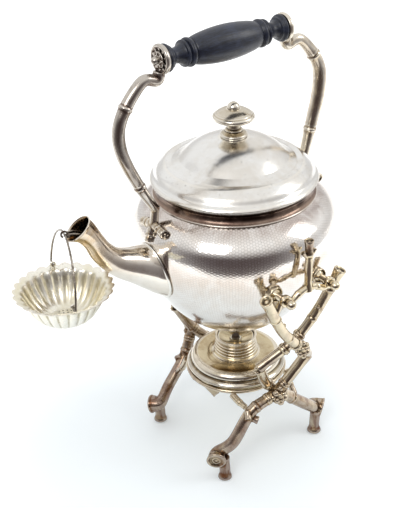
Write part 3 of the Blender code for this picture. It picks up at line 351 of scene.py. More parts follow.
def lathe(name, points, steps=96, place=None, cells=None):
    """Turned skin from outline points; place is a matrix, cells the cell size of a pattern."""
    shape = bmesh.new()
    place = place or Matrix.Translation((kettle_x, 0, 0))
    closed = points[0][0] > 1e-6
    rows = []
    for r, h in points:
        if r < 1e-6:
            rows.append([shape.verts.new(place @ Vector((0, 0, h)))] * steps)
            continue
        rows.append([shape.verts.new(place @ Vector((r * math.cos(a), r * math.sin(a), h)))
                     for a in (2 * math.pi * i / steps for i in range(steps))])
    uv = shape.loops.layers.uv.new("cells") if cells else None
    travel = [0.0]
    for (r0, h0), (r1, h1) in zip(points, points[1:]):
        travel.append(travel[-1] + math.hypot(r1 - r0, h1 - h0))
    pairs = list(range(len(rows) - 1)) + ([-1] if closed else [])
    around = 2 * round(math.pi * 0.072 / cells) if cells else 0
    for k in pairs:
        low, high = rows[k], rows[k + 1]
        for i in range(steps):
            j = (i + 1) % steps
            corner = [low[i], low[j], high[j], high[i]]
            marks = [(i, k), (i + 1, k), (i + 1, k + 1), (i, k + 1)]
            keep = [(c, m) for n, (c, m) in enumerate(zip(corner, marks)) if c not in corner[:n]]
            if len(keep) < 3:
                continue
            face = shape.faces.new([c for c, _ in keep])
            if uv and k >= 0:
                for loop, (_, (a, row)) in zip(face.loops, keep):
                    loop[uv].uv = (around * a / steps, travel[min(row, len(travel) - 1)] / cells)
    return to_mesh(name, shape)


def strip(shape, low, high):
    """One band of faces between two rings."""
    for i in range(len(low)):
        j = (i + 1) % len(low)
        shape.faces.new((low[i], low[j], high[j], high[i]))


def frames_along(points):
    """Parallel-transported frames along a run of points."""
    tangents = []
    for i in range(len(points)):
        a, b = points[max(0, i - 1)], points[min(len(points) - 1, i + 1)]
        tangents.append((b - a).normalized())
    side = tangents[0].orthogonal().normalized()
    frames = []
    for p, t in zip(points, tangents):
        side = (side - t * side.dot(t)).normalized()
        frames.append((p, t, side, t.cross(side)))
    return frames


def rod(shape, points, radius, sides=20, dish=(0.0, 0.0)):
    """Closed bar along points; radius(share, angle); dish hollows its cut ends."""
    rows = []
    frames = frames_along(points)
    for k, (p, t, u, v) in enumerate(frames):
        share = k / (len(points) - 1)
        row = []
        for i in range(sides):
            a = 2 * math.pi * i / sides
            r = radius(share, a)
            row.append(shape.verts.new(p + u * (r * math.cos(a)) + v * (r * math.sin(a))))
        rows.append(row)
    for low, high in zip(rows, rows[1:]):
        strip(shape, low, high)
    for end, depth, sign in ((0, dish[0], 1), (-1, dish[1], -1)):
        p, t, u, v = frames[end]
        size = radius(0.0 if end == 0 else 1.0, 0.0)
        row = rows[end]
        for share, sink in ((0.80, -0.10), (0.62, 0.55), (0.34, 0.95), (0.16, 0.55)):
            if depth == 0:
                break
            ring = [shape.verts.new(p + t * (sign * depth * sink)
                                    + u * (size * share * math.cos(a))
                                    + v * (size * share * math.sin(a)))
                    for a in (2 * math.pi * i / sides for i in range(sides))]
            strip(shape, row, ring)
            row = ring
        shape.faces.new(row)


def blob(shape, centre, size, turn=None, rows=8, columns=12):
    """Small ellipsoid, joined in by the remesh."""
    place = Matrix.Translation(centre) @ (turn or Matrix()) @ Matrix.Diagonal((*size, 1.0))
    bmesh.ops.create_uvsphere(shape, u_segments=columns, v_segments=rows, radius=1.0, matrix=place)


def hoop_ring(shape, centre, axis, radius, thickness, sides=24, around=8):
    """Small ring, such as a turn of a lashing."""
    axis = Vector(axis).normalized()
    u = axis.orthogonal().normalized()
    v = axis.cross(u)
    rows = []
    for i in range(sides):
        a = 2 * math.pi * i / sides
        out = u * math.cos(a) + v * math.sin(a)
        rows.append([shape.verts.new(Vector(centre) + out * (radius + thickness * math.cos(b))
                                     + axis * (thickness * math.sin(b)))
                     for b in (2 * math.pi * k / around for k in range(around))])
    for i in range(sides):
        strip(shape, rows[i], rows[(i + 1) % sides])


def bell(x):
    return math.exp(-x * x)


def bamboo(shape, points, start, end, knots=(), flare=(1.0, 1.0), dish=(0.0, 0.0), seed=0.0,
           sides=22, step=0.0010, buds=True, flare_length=0.010, fullness=0.0, ring=0.13):
    """Cast bamboo stem: an even bar with crisp narrow rings and cut ends that flare."""
    run = smooth_run(points, step)
    length = step * len(run)

    def radius(share, a):
        r = (start + (end - start) * share) * (1.0 + fullness * math.sin(math.pi * share))
        s = share * length
        grow = 0.955 + 0.02 * math.sin(9.0 * share + seed)
        for knot in knots:
            d = s - knot * length
            grow += 0.07 * bell(d / 0.0034) + ring * bell((d - 0.0006) / 0.0008)
            grow -= 0.06 * bell((d + 0.0012) / 0.0007)
        grow += (flare[0] - 1.0) * bell(s / flare_length) + (flare[1] - 1.0) * bell(
            (length - s) / flare_length)
        wobble = noise.noise(Vector((s * 110 + seed * 7, math.cos(a) * 1.1, math.sin(a) * 1.1)))
        return r * (grow + 0.028 * wobble)

    rod(shape, run, radius, sides, dish)
    if buds:
        frames = frames_along(run)
        for n, knot in enumerate(knots):
            p, t, u, v = frames[min(len(run) - 1, int(knot * (len(run) - 1)) + 1)]
            a = seed * 2.3 + n * math.pi
            out = u * math.cos(a) + v * math.sin(a)
            r = (start + (end - start) * knot) * 1.02
            turn = out.to_track_quat("Z", "Y").to_matrix().to_4x4()
            blob(shape, p + out * r, (0.0012, 0.0012, 0.0009), turn)
    return run


def fused(name, shape, voxel=0.0006, smoothing=3):
    """Melts overlapping closed shapes into one skin, as cast and soldered silver is."""
    mesh = to_mesh(name, shape)
    obj = shown(name, mesh)
    step = obj.modifiers.new("melt", "REMESH")
    step.mode = "VOXEL"
    step.voxel_size = voxel
    soft = obj.modifiers.new("soften", "SMOOTH")
    soft.factor = 0.45
    soft.iterations = smoothing
    return applied(name, obj)


def mark_cavity(mesh, gain):
    """Stores how hollow each point is, from 0 to 1, as the attribute cavity."""
    count = len(mesh.vertices)
    places = np.empty(count * 3)
    normals = np.empty(count * 3)
    mesh.vertices.foreach_get("co", places)
    mesh.vertices.foreach_get("normal", normals)
    places, normals = places.reshape(-1, 3), normals.reshape(-1, 3)
    edges = np.empty(len(mesh.edges) * 2, dtype=np.int64)
    mesh.edges.foreach_get("vertices", edges)
    a, b = edges.reshape(-1, 2).T
    number = np.bincount(a, minlength=count) + np.bincount(b, minlength=count) + 1e-9

    def mean(values):
        return (np.bincount(a, values[b], count) + np.bincount(b, values[a], count)) / number

    span = np.linalg.norm(places[a] - places[b], axis=1).mean()
    around = np.stack([mean(places[:, k]) for k in range(3)], axis=1)
    bend = ((around - places) * normals).sum(axis=1) / span
    for _ in range(3):
        bend = 0.4 * bend + 0.6 * mean(bend)
    value = np.clip(0.30 + bend * 6.0 * gain, 0.0, 1.0)
    layer = mesh.attributes.new("cavity", "FLOAT", "POINT")
    layer.data.foreach_set("value", value.astype(np.float32))


def piece(name, mesh, mat, body, slot, *nodes, angle=50.0, cavity=None):
    """Puts a finished mesh in the scene under its body's empty, and hides the frame's parts it
    replaces.
    """
    obj = shown(name, mesh)
    mesh.materials.clear()
    mesh.materials.append(mat)
    mesh.shade_smooth()
    mesh.set_sharp_from_angle(angle=math.radians(angle))
    if cavity:
        mark_cavity(mesh, cavity)
    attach(obj, body)
    if nodes:
        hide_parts(*nodes)
    return obj


# Kettle body, neck, lid
body_radius, equator_z, rise, drop = 0.085, 0.2187, 0.0394, 0.103
mouth_radius, base_radius, wall = 0.0605, 0.030, 0.0014
upper_power, lower_power = 2.08, 1.84


def shoulder_height(radius, offset=0.0):
    share = min(radius / (body_radius + offset), 1.0)
    return equator_z + (rise + offset) * (1 - share ** upper_power) ** (1 / upper_power)


def belly(offset, opening, rows_up, rows_down):
    reach = body_radius + offset
    first = math.acos(min(1.0, (opening / reach) ** (upper_power / 2)))
    last = math.acos(min(1.0, (base_radius / reach) ** (lower_power / 2)))
    points = []
    for i in range(rows_up):
        a = first * (1 - i / rows_up)
        points.append((reach * math.cos(a) ** (2 / upper_power),
                       equator_z + (rise + offset) * math.sin(a) ** (2 / upper_power)))
    for i in range(rows_down + 1):
        a = last * i / rows_down
        points.append((reach * math.cos(a) ** (2 / lower_power),
                       equator_z - (drop + offset) * math.sin(a) ** (2 / lower_power)))
    return points


outer = belly(0.0, mouth_radius, 26, 52)
inner = belly(-wall, mouth_radius - wall / 2, 10, 22)
base_z = outer[-1][1]
inner[-1] = (base_radius - wall, base_z + wall)
foot = outline([(outer[-1][0], base_z), (base_radius * 0.97, base_z - 0.0004),
                (base_radius * 0.90, base_z)], step=0.0004)
skin = [(0.0, base_z + wall)] + inner[::-1] + outer[:-1] + foot + [(0.0, base_z + 0.0002)]
piece("kettle_belly", lathe("kettle_belly", skin, 176, cells=0.00205), belly_silver, "kettle",
      "silver_plate", "kettle_body")

neck_radius, neck_height, neck_wall, neck_foot, neck_bead = 0.0638, 0.0122, 0.0014, 0.0028, 0.0018
neck_in, neck_out = neck_radius - neck_wall, neck_radius + neck_foot
neck_top = shoulder_height(neck_out) + neck_height
neck_line = outline(
    [(neck_in, neck_top), (neck_radius + neck_bead * 0.5, neck_top)],
    [(neck_radius + neck_bead, neck_top - neck_bead * 0.7),
     (neck_radius + neck_bead * 0.6, neck_top - neck_bead * 1.6)],
    [(neck_radius - neck_wall * 0.2, neck_top - neck_height * 0.40),
     (neck_radius - neck_wall * 0.1, neck_top - neck_height * 0.58),
     (neck_radius + neck_foot * 0.35, neck_top - neck_height * 0.78),
     (neck_out, shoulder_height(neck_out) + gap + neck_bead * 0.5)],
    [(neck_out + 0.0006, shoulder_height(neck_out) + gap + neck_bead * 0.15),
     (neck_out, shoulder_height(neck_out) + gap)],
    [(neck_in, shoulder_height(neck_in) + gap)], step=0.0005)
piece("neck_collar", lathe("neck_collar", neck_line, 160), neck_silver, "kettle",
      "silver_plate", "neck_band", cavity=1.0)

lid_radius, lid_ring, flange_rise, dome_rise, lid_roll = 0.0686, 0.0552, 0.0125, 0.0205, 0.0016
rim_z = neck_top + gap
rim_top = rim_z + 2 * lid_roll
ring_z = rim_top + flange_rise - lid_roll
crown_z = ring_z + dome_rise
bezel = neck_in - 0.0005
crown_radius = 0.0112
dome = [(lid_ring * r, ring_z + dome_rise * h) for r, h in (
    (0.30, 0.935), (0.40, 0.868), (0.52, 0.742), (0.63, 0.570), (0.715, 0.390), (0.775, 0.240),
    (0.825, 0.120), (0.870, 0.048), (0.915, 0.018), (0.96, 0.010), (1.00, 0.012))]
lid_line = outline(
    [(0.0, crown_z), (crown_radius, crown_z)], dome,
    [(lid_ring, ring_z + 0.00025)],
    [(lid_ring + lid_roll * 0.9, ring_z - lid_roll * 0.20),
     (lid_ring + lid_roll * 1.9, ring_z - lid_roll * 0.85),
     (lid_ring + (lid_radius - lid_ring) * 0.55, rim_top + flange_rise * 0.46),
     (lid_radius - lid_roll * 2.2, rim_top + lid_roll * 1.10),
     (lid_radius - lid_roll * 0.9, rim_top + lid_roll * 0.05),
     (lid_radius - lid_roll * 0.15, rim_top - lid_roll * 0.75),
     (lid_radius, rim_top - lid_roll * 1.25),
     (lid_radius - lid_roll * 0.25, rim_top - lid_roll * 1.62)],
    [(lid_radius - lid_roll * 0.05, rim_top - lid_roll * 1.72),
     (lid_radius - lid_roll * 0.1, rim_z + 0.0002), (lid_radius - lid_roll, rim_z)],
    [(bezel, rim_z)], [(bezel, rim_z - 0.0085)], [(bezel - wall, rim_z - 0.0085)],
    [(bezel - wall, ring_z - wall * 3.0)],
    [(lid_ring - wall, ring_z - wall),
     (lid_ring * 0.76, ring_z - wall + dome_rise * 0.30),
     (lid_ring * 0.47, ring_z - wall + dome_rise * 0.70), (crown_radius, crown_z - wall * 1.2)],
    [(0.0, crown_z - wall * 1.2)], step=0.0010)
lid_mesh = lathe("lid_dome", lid_line, 160)
piece("lid_dome", lid_mesh, smooth_silver, "lid", "silver_plate", "lid", cavity=0.8)
vent_x = kettle_x + 0.0155
vent_z = ring_z + dome_rise * 0.87
lean = Matrix.Translation((vent_x, 0, vent_z)) @ Matrix.Rotation(math.radians(26), 4, "Y")
vent_line = outline([(0.0, -0.0012), (0.0009, -0.0012)], [(0.0009, 0.0001)],
                    [(0.0013, 0.0005), (0.0018, 0.0002), (0.0020, -0.0006)],
                    [(0.0, -0.0016)], step=0.0002)
piece("steam_hole", lathe("steam_hole", vent_line, 24, lean), smooth_silver, "lid",
      "silver_plate", cavity=1.6)

knob_z = crown_z + gap
kh, kr, ks, kf = 0.0232, 0.0169, 0.0046, 0.0107
knob_line = outline(
    [(0.0, knob_z + kh), (kr * 0.30, knob_z + kh)],
    [(kr * 0.52, knob_z + kh * 0.965), (kr * 0.74, knob_z + kh * 0.890),
     (kr * 0.88, knob_z + kh * 0.820)],
    [(kr * 0.895, knob_z + kh * 0.800)], [(kr * 0.96, knob_z + kh * 0.770),
     (kr, knob_z + kh * 0.715), (kr * 0.97, knob_z + kh * 0.650), (kr * 0.87, knob_z + kh * 0.590),
     (kr * 0.68, knob_z + kh * 0.545), (ks * 1.65, knob_z + kh * 0.515)],
    [(ks * 1.22, knob_z + kh * 0.485), (ks * 1.02, knob_z + kh * 0.42),
     (ks * 1.0, knob_z + kh * 0.35), (ks * 1.12, knob_z + kh * 0.27)],
    [(ks * 1.52, knob_z + kh * 0.255), (ks * 1.60, knob_z + kh * 0.225),
     (ks * 1.48, knob_z + kh * 0.195)],
    [(kf * 0.80, knob_z + kh * 0.15), (kf * 0.99, knob_z + kh * 0.10),
     (kf * 1.03, knob_z + kh * 0.05), (kf, knob_z)],
    [(0.0, knob_z)], step=0.0005)
piece("lid_knob", lathe("lid_knob", knob_line, 96), knob_silver, "lid", "silver_plate", "knob",
      cavity=1.4)
bz, bh, br = knob_z + kh + gap, 0.0048, 0.0050
button_line = outline([(0.0, bz + bh), (br * 0.42, bz + bh * 0.93), (br * 0.78, bz + bh * 0.66),
                       (br * 0.98, bz + bh * 0.30), (br, bz + bh * 0.12), (br * 0.98, bz)],
                      [(0.0, bz)], step=0.0004)
piece("lid_knob_button", lathe("lid_knob_button", button_line, 48), knob_silver, "lid",
      "silver_plate", "knob_button", cavity=1.2)

# Spout
root_depth, reach, root_z, mouth_z = 0.066, 0.1455, 0.1915, 0.2565
root_high, root_wide, throat = 0.0250, 0.0215, 0.0084
mouth_high, mouth_wide = 0.0118, 0.0086
spout_rings = [
    (0.00, 0.00, -4.0, root_high, root_wide),
    (0.16, 0.08, 2.0, root_high * 0.88, root_wide * 0.94),
    (0.28, 0.17, 12.0, root_high * 0.74, root_wide * 0.82),
    (0.42, 0.27, 22.0, root_high * 0.60, root_wide * 0.70),
    (0.56, 0.36, 32.0, root_high * 0.50, root_wide * 0.58),
    (0.68, 0.47, 45.0, root_high * 0.41, root_wide * 0.48),
    (0.78, 0.62, 58.0, throat * 1.08, throat * 1.06), (0.85, 0.78, 64.0, throat, throat),
    (0.92, 0.91, 60.0, throat * 1.12, throat), (1.00, 1.00, 53.0, mouth_high, mouth_wide)]


def spout_ring(values, inset, sides=48):
    along, up_share, tilt, high, wide = values
    centre = Vector((kettle_x - root_depth - (reach - root_depth) * along, 0,
                     root_z + (mouth_z - root_z) * up_share))
    tilt = math.radians(tilt)
    up = Vector((math.sin(tilt), 0, math.cos(tilt)))
    return [centre + up * ((high - inset) * math.cos(a))
            + Vector((0, (wide - inset) * math.sin(a), 0))
            for a in (2 * math.pi * i / sides for i in range(sides))]


def blended(table, count):
    """Smoothly interpolated rows of a table."""
    rows = [np.array(row) for row in table]
    rows = [2 * rows[0] - rows[1]] + rows + [2 * rows[-1] - rows[-2]]
    result = []
    for i in range(count):
        t = (len(table) - 1) * i / (count - 1)
        k = min(int(t), len(table) - 2)
        t -= k
        result.append(catmull(*rows[k:k + 4], t))
    return result


shape = bmesh.new()
outside = [spout_ring(v, 0.0) for v in blended(spout_rings, 64)]
lip = [spout_ring((1.004, 1.004, 53.0, 0.0121, 0.0089), 0.0),
       spout_ring((1.006, 1.008, 53.0, mouth_high, mouth_wide), 0.0006)]
inside = [spout_ring(v, 0.0011) for v in blended(spout_rings, 40)][::-1]
rows = [[shape.verts.new(p) for p in ring] for ring in outside + lip + inside]
for k in range(len(rows)):
    strip(shape, rows[k], rows[(k + 1) % len(rows)])
spout_mesh = to_mesh("spout_tube", shape)


def trimmed(mesh, keep_out, name):
    """Cuts what lies inside a closed mesh off another one."""
    body, tool = shown(name, mesh), shown(name + "_tool", keep_out)
    step = body.modifiers.new("trim", "BOOLEAN")
    step.operation = "DIFFERENCE"
    step.solver = "EXACT"
    step.object = tool
    return applied(name, body, tool)


def belly_solid(offset, steps=128):
    line = belly(offset, mouth_radius, 14, 30)
    return lathe("belly_solid", [(0.0, line[0][1])] + line + [(0.0, line[-1][1])], steps)


def belly_radius(z, offset):
    """Radius of the kettle's outside at a height."""
    if z > equator_z:
        share, power = (z - equator_z) / (rise + offset), upper_power
    else:
        share, power = (equator_z - z) / (drop + offset), lower_power
    return (body_radius + offset) * (1 - min(1.0, share) ** power) ** (1 / power)


piece("spout_tube", trimmed(spout_mesh, belly_solid(gap), "spout_tube"), spout_silver, "kettle",
      "silver_plate", "spout", cavity=0.6)

# the soldered bead that follows the spout's joint with the belly
joint = []
for i in range(48):
    for ring_a, ring_b in zip(outside, outside[1:]):
        a, b = ring_a[i], ring_b[i]
        in_a = math.hypot(a.x - kettle_x, a.y) - belly_radius(a.z, 0.0012)
        in_b = math.hypot(b.x - kettle_x, b.y) - belly_radius(b.z, 0.0012)
        if in_a <= 0 < in_b:
            joint.append(a.lerp(b, in_a / (in_a - in_b)))
            break
joint = [sum((joint[(i + k) % 48] for k in (-1, 0, 1)), Vector()) / 3 for i in range(48)]
shape = bmesh.new()
rows = []
for i in range(48):
    along_joint = (joint[(i + 1) % 48] - joint[i - 1]).normalized()
    away = Vector((joint[i].x - kettle_x, joint[i].y, (joint[i].z - equator_z) * 0.5)).normalized()
    away = (away - along_joint * away.dot(along_joint)).normalized()
    side_way = along_joint.cross(away)
    rows.append([shape.verts.new(joint[i] + away * (0.0009 * math.cos(a))
                                 + side_way * (0.0016 * math.sin(a)))
                 for a in (2 * math.pi * k / 12 for k in range(12))])
for i in range(48):
    strip(shape, rows[i], rows[(i + 1) % 48])
piece("spout_joint_bead", to_mesh("spout_joint_bead", shape), smooth_silver, "kettle",
      "silver_plate")

# Grip and its ends
grip_shift, grip_z, half = 0.0080, 0.3691, 0.0556
grip_x = kettle_x - grip_shift
along_x = Matrix.Translation((grip_x, 0, grip_z)) @ Matrix.Rotation(math.pi / 2, 4, "Y")
half_line = [
    [(0.0023, 1.00), (0.0092, 1.00)], [(0.0106, 0.985), (0.0107, 0.962), (0.0104, 0.948)],
    [(0.0092, 0.935), (0.0088, 0.915), (0.0088, 0.905)],
    [(0.0072, 0.890), (0.0062, 0.855), (0.0060, 0.82), (0.0064, 0.78),
     (0.0074, 0.735), (0.0084, 0.705)],
    [(0.0098, 0.700), (0.0102, 0.680), (0.0096, 0.660)],
    [(0.0090, 0.652), (0.0090, 0.640)], [(0.0106, 0.630), (0.0111, 0.602), (0.0106, 0.574)],
    [(0.0095, 0.560), (0.0092, 0.550)],
    [(0.0102, 0.525), (0.0117, 0.42), (0.0129, 0.27), (0.0136, 0.12), (0.0138, 0.0)]]
upper = outline(*[[(r, half * s) for r, s in run] for run in half_line], step=0.0006)
grip_line = upper + [(r, -h) for r, h in upper[-2::-1]]
piece("ebony_grip", lathe("ebony_grip", grip_line, 72, along_x), ebony, "kettle", "ebony", "grip",
      angle=60.0)

plate_in, plate_thick, plate_r = half + gap, 0.0036, 0.0115
plate_out = plate_in + plate_thick


def side_place(end):
    return (Matrix.Translation((grip_x, 0, grip_z)) @ Matrix.Rotation(end * math.pi / 2, 4, "Y"))


for end, label in ((fore, "fore"), (aft, "aft")):
    # rosette: a ring of petals round the rod, under a domed nut
    shape = bmesh.new()
    place = side_place(end)
    base = plate_out + gap
    for i in range(8):
        a = math.pi * i / 4
        turn = Matrix.Rotation(a, 4, "Z")
        blob(shape, place @ turn @ Vector((0.0044, 0, base + 0.0006)), (0.0021, 0.0013, 0.0010),
             (place @ turn).to_3x3().to_4x4())
    ring = lathe("ring", outline([(0.0024, base), (0.0024, base + 0.0014)],
                                 [(0.0036, base + 0.0016), (0.0044, base + 0.0010),
                                  (0.0062, base + 0.0007), (0.0066, base)],
                                  [(0.0024, base)], step=0.0004), 40, place)
    shape.from_mesh(ring)
    piece(f"rosette_{label}_petals", fused(f"rosette_{label}_petals", shape, 0.00022, 1),
          arm_silver, "kettle", "silver_plate", f"rosette_{label}", cavity=1.5)
    nut = plate_out + 2 * gap + 0.0016
    line = outline([(0.0, nut + 0.0039), (0.0014, nut + 0.0036), (0.0026, nut + 0.0024),
                    (0.0030, nut + 0.0010), (0.0029, nut)], [(0.0, nut)],
                    step=0.0003)
    piece(f"domed_nut_{label}", lathe(f"domed_nut_{label}", line, 32, place), arm_silver, "kettle",
          "silver_plate", f"grip_nut_{label}", cavity=1.0)

# Handle arms
arm_reach, arm_bow, arm_r, twig_half = 0.0750, 0.0965, 0.0036, 0.0150
arm_foot_z = shoulder_height(arm_reach) + 0.0119
for end, label in ((fore, "fore"), (aft, "aft")):
    def at(reach, z, shift=1.0, end=end):
        return Vector((kettle_x - grip_shift * shift + end * reach, 0, z))

    shape = bmesh.new()
    place = side_place(end)
    # end plate: a dished disc with a rolled rim and a ring of petals in relief
    plate = lathe("plate", outline(
        [(0.0023, plate_out - 0.0012), (plate_r * 0.60, plate_out - 0.0012)],
        [(plate_r * 0.76, plate_out - 0.0006),
         (plate_r * 0.84, plate_out + 0.0001), (plate_r * 0.97, plate_out - 0.0003),
         (plate_r, plate_out - plate_thick * 0.45), (plate_r * 0.96, plate_in)],
        [(0.0023, plate_in)], step=0.0005), 56, place)
    shape.from_mesh(plate)
    for i in range(10):
        a = 2 * math.pi * i / 10
        petal = place @ Matrix.Rotation(a, 4, "Z")
        blob(shape, petal @ Vector((0.0084, 0, plate_out - 0.0008)), (0.0020, 0.0014, 0.0008),
             petal.to_3x3().to_4x4())
    hook = [at(plate_in + 0.0036, grip_z - plate_r * 0.80),
            at(plate_in + 0.0064, grip_z - plate_r - 0.0034)]
    hook += [at(plate_out + (arm_bow - plate_out) * out, arm_foot_z + (grip_z - arm_foot_z) * up)
             for out, up in ((0.44, 0.882), (0.95, 0.685), (1.0, 0.487))]
    hook += [at(arm_reach + (arm_bow - arm_reach) * 0.52,
                arm_foot_z + (grip_z - arm_foot_z) * 0.227, 0.7),
             at(arm_reach, arm_foot_z, 0.2)]
    low_size = 0.0044 if end > 0 else arm_r
    run = bamboo(shape, hook, 0.0042, low_size, (0.30, 0.80), (1.15, 1.0), seed=1.7 + end,
                 step=0.0009, sides=26, fullness=0.34, ring=0.15)
    # the bar swells towards the two rings, as cane does
    for share, size in ((0.305, 0.0058), (0.805, low_size + 0.0015)):
        k = int(len(run) * share)
        turn = (run[k + 1] - run[k - 1]).to_track_quat("Z", "Y").to_matrix().to_4x4()
        blob(shape, run[k], (size, size, 0.0034), turn, 10, 20)
    foot_r = arm_reach + arm_r * 1.2
    twig_z = shoulder_height(foot_r) + arm_r * 1.1
    crown = Vector((kettle_x + end * foot_r, 0, twig_z))
    side_r = arm_reach + arm_r * 1.6
    side_z = shoulder_height(side_r) + arm_r * 0.9
    side_x = kettle_x + end * math.sqrt(side_r ** 2 - twig_half ** 2)
    low_r = body_radius - 0.0004
    low_z = shoulder_height(low_r) + 0.0022
    bamboo(shape, [hook[-1] + Vector((0, 0, 0.004)), crown], 0.0034, 0.0038, seed=0.4, buds=False)
    bamboo(shape, [(side_x, -twig_half, side_z), crown, (side_x, twig_half, side_z)], 0.0038,
           0.0038, (0.24, 0.76), (1.14, 1.14), (0.0011, 0.0011), seed=2.1, flare_length=0.003)
    bamboo(shape, [crown, (kettle_x + end * (foot_r + low_r) / 2, 0,
                           (twig_z + low_z) / 2 + 0.0022),
                   (kettle_x + end * low_r, 0, low_z)], 0.0035, 0.0031, (0.6,), (1.0, 1.25),
           (0.0, 0.0010), seed=3.3, flare_length=0.003)
    mesh = fused(f"bamboo_arm_{label}", shape, 0.00045, 3)
    piece(f"bamboo_arm_{label}", trimmed(mesh, belly_solid(gap, 96), f"bamboo_arm_{label}"),
          arm_silver, "kettle", "silver_plate", f"handle_arm_{label}", cavity=1.6)

# Studs and brackets
stud_reach, stud_z, ball_y, ball_r = 0.0224, 0.1911, 0.0994, 0.0040
bracket_y, eye_half = 0.0926, 0.0023
eye_in, eye_out = bracket_y - eye_half, bracket_y + eye_half
flange_y = math.sqrt((body_radius * 0.957) ** 2 - (stud_reach - 0.0066) ** 2)
stud_root = math.sqrt(body_radius ** 2 - stud_reach ** 2) - 0.0072
for side, hand in ((left, "left"), (right, "right")):
    for end, label in ((fore, "fore"), (aft, "aft")):
        place = (Matrix.Translation((kettle_x + end * stud_reach, 0, stud_z))
                 @ Matrix.Rotation(-side * math.pi / 2, 4, "X"))
        line = outline(
            [(0.0, ball_y + ball_r), (0.0016, ball_y + 0.0037), (0.0031, ball_y + 0.0025),
             (0.0040, ball_y), (0.0034, ball_y - 0.0021), (0.0029, eye_out + gap)],
            [(0.0029, eye_in - gap)], [(0.0030, flange_y + 0.0042), (0.0034, flange_y + 0.0030)],
            [(0.0046, flange_y + 0.0014), (0.0052, flange_y + 0.0012)],
            [(0.0058, flange_y + 0.0022), (0.0065, flange_y + 0.0016), (0.0066, flange_y)],
            [(0.0066, stud_root)], [(0.0, stud_root)], step=0.0004)
        mesh = lathe(f"ball_stud_{hand}_{label}", line, 36, place)
        mesh = trimmed(mesh, belly_solid(gap, 96), f"ball_stud_{hand}_{label}")
        piece(f"ball_stud_{hand}_{label}", mesh, cast_silver, "kettle", "tarnished_silver",
              f"stud_{hand}_{label}", cavity=1.4)

    y = side * bracket_y
    shape = bmesh.new()
    bamboo(shape, [(kettle_x, y, 0.1922), (kettle_x + 0.0004, y, 0.2150), (kettle_x, y, 0.2368)],
           0.0033, 0.0033, (0.72,), (1.30, 1.22), (0.0009, 0.0012), seed=0.9 + side,
           flare_length=0.004)
    for end in (fore, aft):
        eye_x = kettle_x + end * stud_reach
        bamboo(shape, [(kettle_x, y, 0.1955), (kettle_x + end * 0.0085, y, 0.1930),
                       (kettle_x + end * 0.0160, y, 0.1889), (eye_x, y, stud_z - 0.0006)],
               0.0031, 0.0027, (0.40,), seed=end)
        rod(shape, smooth_run([(eye_x, side * eye_in, stud_z), (eye_x, side * eye_out, stud_z)],
                              0.0008), lambda s, a: 0.0050 - 0.0005 * abs(2 * s - 1) ** 4, 28)
        bamboo(shape, [(kettle_x, y, 0.2222 + end * 0.0006), (kettle_x + end * 0.0034, y, 0.2246),
                       (kettle_x + end * 0.0062, y, 0.2280)], 0.0021, 0.0018, (), (1.0, 1.2),
               (0.0, 0.0006), seed=end * 2, buds=False, flare_length=0.002)
    mesh = fused(f"bamboo_bracket_{hand}", shape, 0.00038, 3)
    for end in (fore, aft):
        eye_x = kettle_x + end * stud_reach
        shape = bmesh.new()
        rod(shape, [Vector((eye_x, side * (eye_in - 0.003), stud_z)),
                    Vector((eye_x, side * (eye_out + 0.003), stud_z))], lambda s, a: 0.0031, 28)
        mesh = trimmed(mesh, to_mesh("pin", shape), f"bamboo_bracket_{hand}")
    piece(f"bamboo_bracket_{hand}", mesh, cast_silver, "kettle", "tarnished_silver",
          f"bracket_{hand}", cavity=1.6)


# Stand
def on_stand(x, y, z):
    return Vector((kettle_x + x, y, z))


def between(a, b, share):
    return Vector(a).lerp(Vector(b), share)


def heel(foot):
    """Where a leg turns outwards just before its cut end."""
    x, y, z = foot
    return (x * 0.895, y * 0.888, z + 0.0026)


def stand_paths(side):
    """Centre lines of one side's four stems, as in the solids, y from the middle."""
    half_layer = 0.0043
    top_fore, top_aft = (-0.0382, 0.0882, 0.1952), (0.0382, 0.0882, 0.1952)
    cross_out, cross_in = (0.0030, 0.0768 + half_layer, 0.1315), (0.0030, 0.0768 - half_layer,
                                                                  0.1315)
    corner_aft = (0.0230, 0.0650 + half_layer, 0.1095)
    corner_fore = (-0.0230, 0.0650 - half_layer, 0.1095)
    low_out, low_in = (-0.0035, 0.0575 + half_layer, 0.0775), (-0.0035, 0.0575 - half_layer,
                                                               0.0775)
    foot_fore, foot_aft = (-0.0605, 0.0500, 0.0220), (0.0605, 0.0500, 0.0220)
    bowed = between(top_aft, cross_in, 0.62) + Vector((0.0060, 0, 0))
    stem_mid = between(top_fore, cross_out, 0.55) - Vector((0.0042 * 0.6, 0, 0.0042 * 0.8))
    bends = ((0.33, 0.0085), (0.72, 0.0)) if side == left else ((0.33, -0.0088), (0.72, -0.0088))
    across_leg = Vector((low_out[2] - foot_fore[2], 0, foot_fore[0] - low_out[0])).normalized()
    knees = [between(low_out, foot_fore, share) - across_leg * bend for share, bend in bends]
    knee_aft = between(low_in, foot_aft, 0.78) - Vector((0.0060 * 0.3, 0, 0.0060 * 0.4))
    return {
        "stem_fore": [top_fore, stem_mid, cross_out, between(cross_out, corner_aft, 0.96)],
        "stem_aft": [top_aft, bowed, cross_in, corner_fore],
        "leg_fore": [corner_aft, low_out, knees[0], knees[1], heel(foot_fore), foot_fore],
        "leg_aft": [between(low_in, corner_fore, 0.94), low_in, knee_aft, heel(foot_aft),
                    foot_aft]}


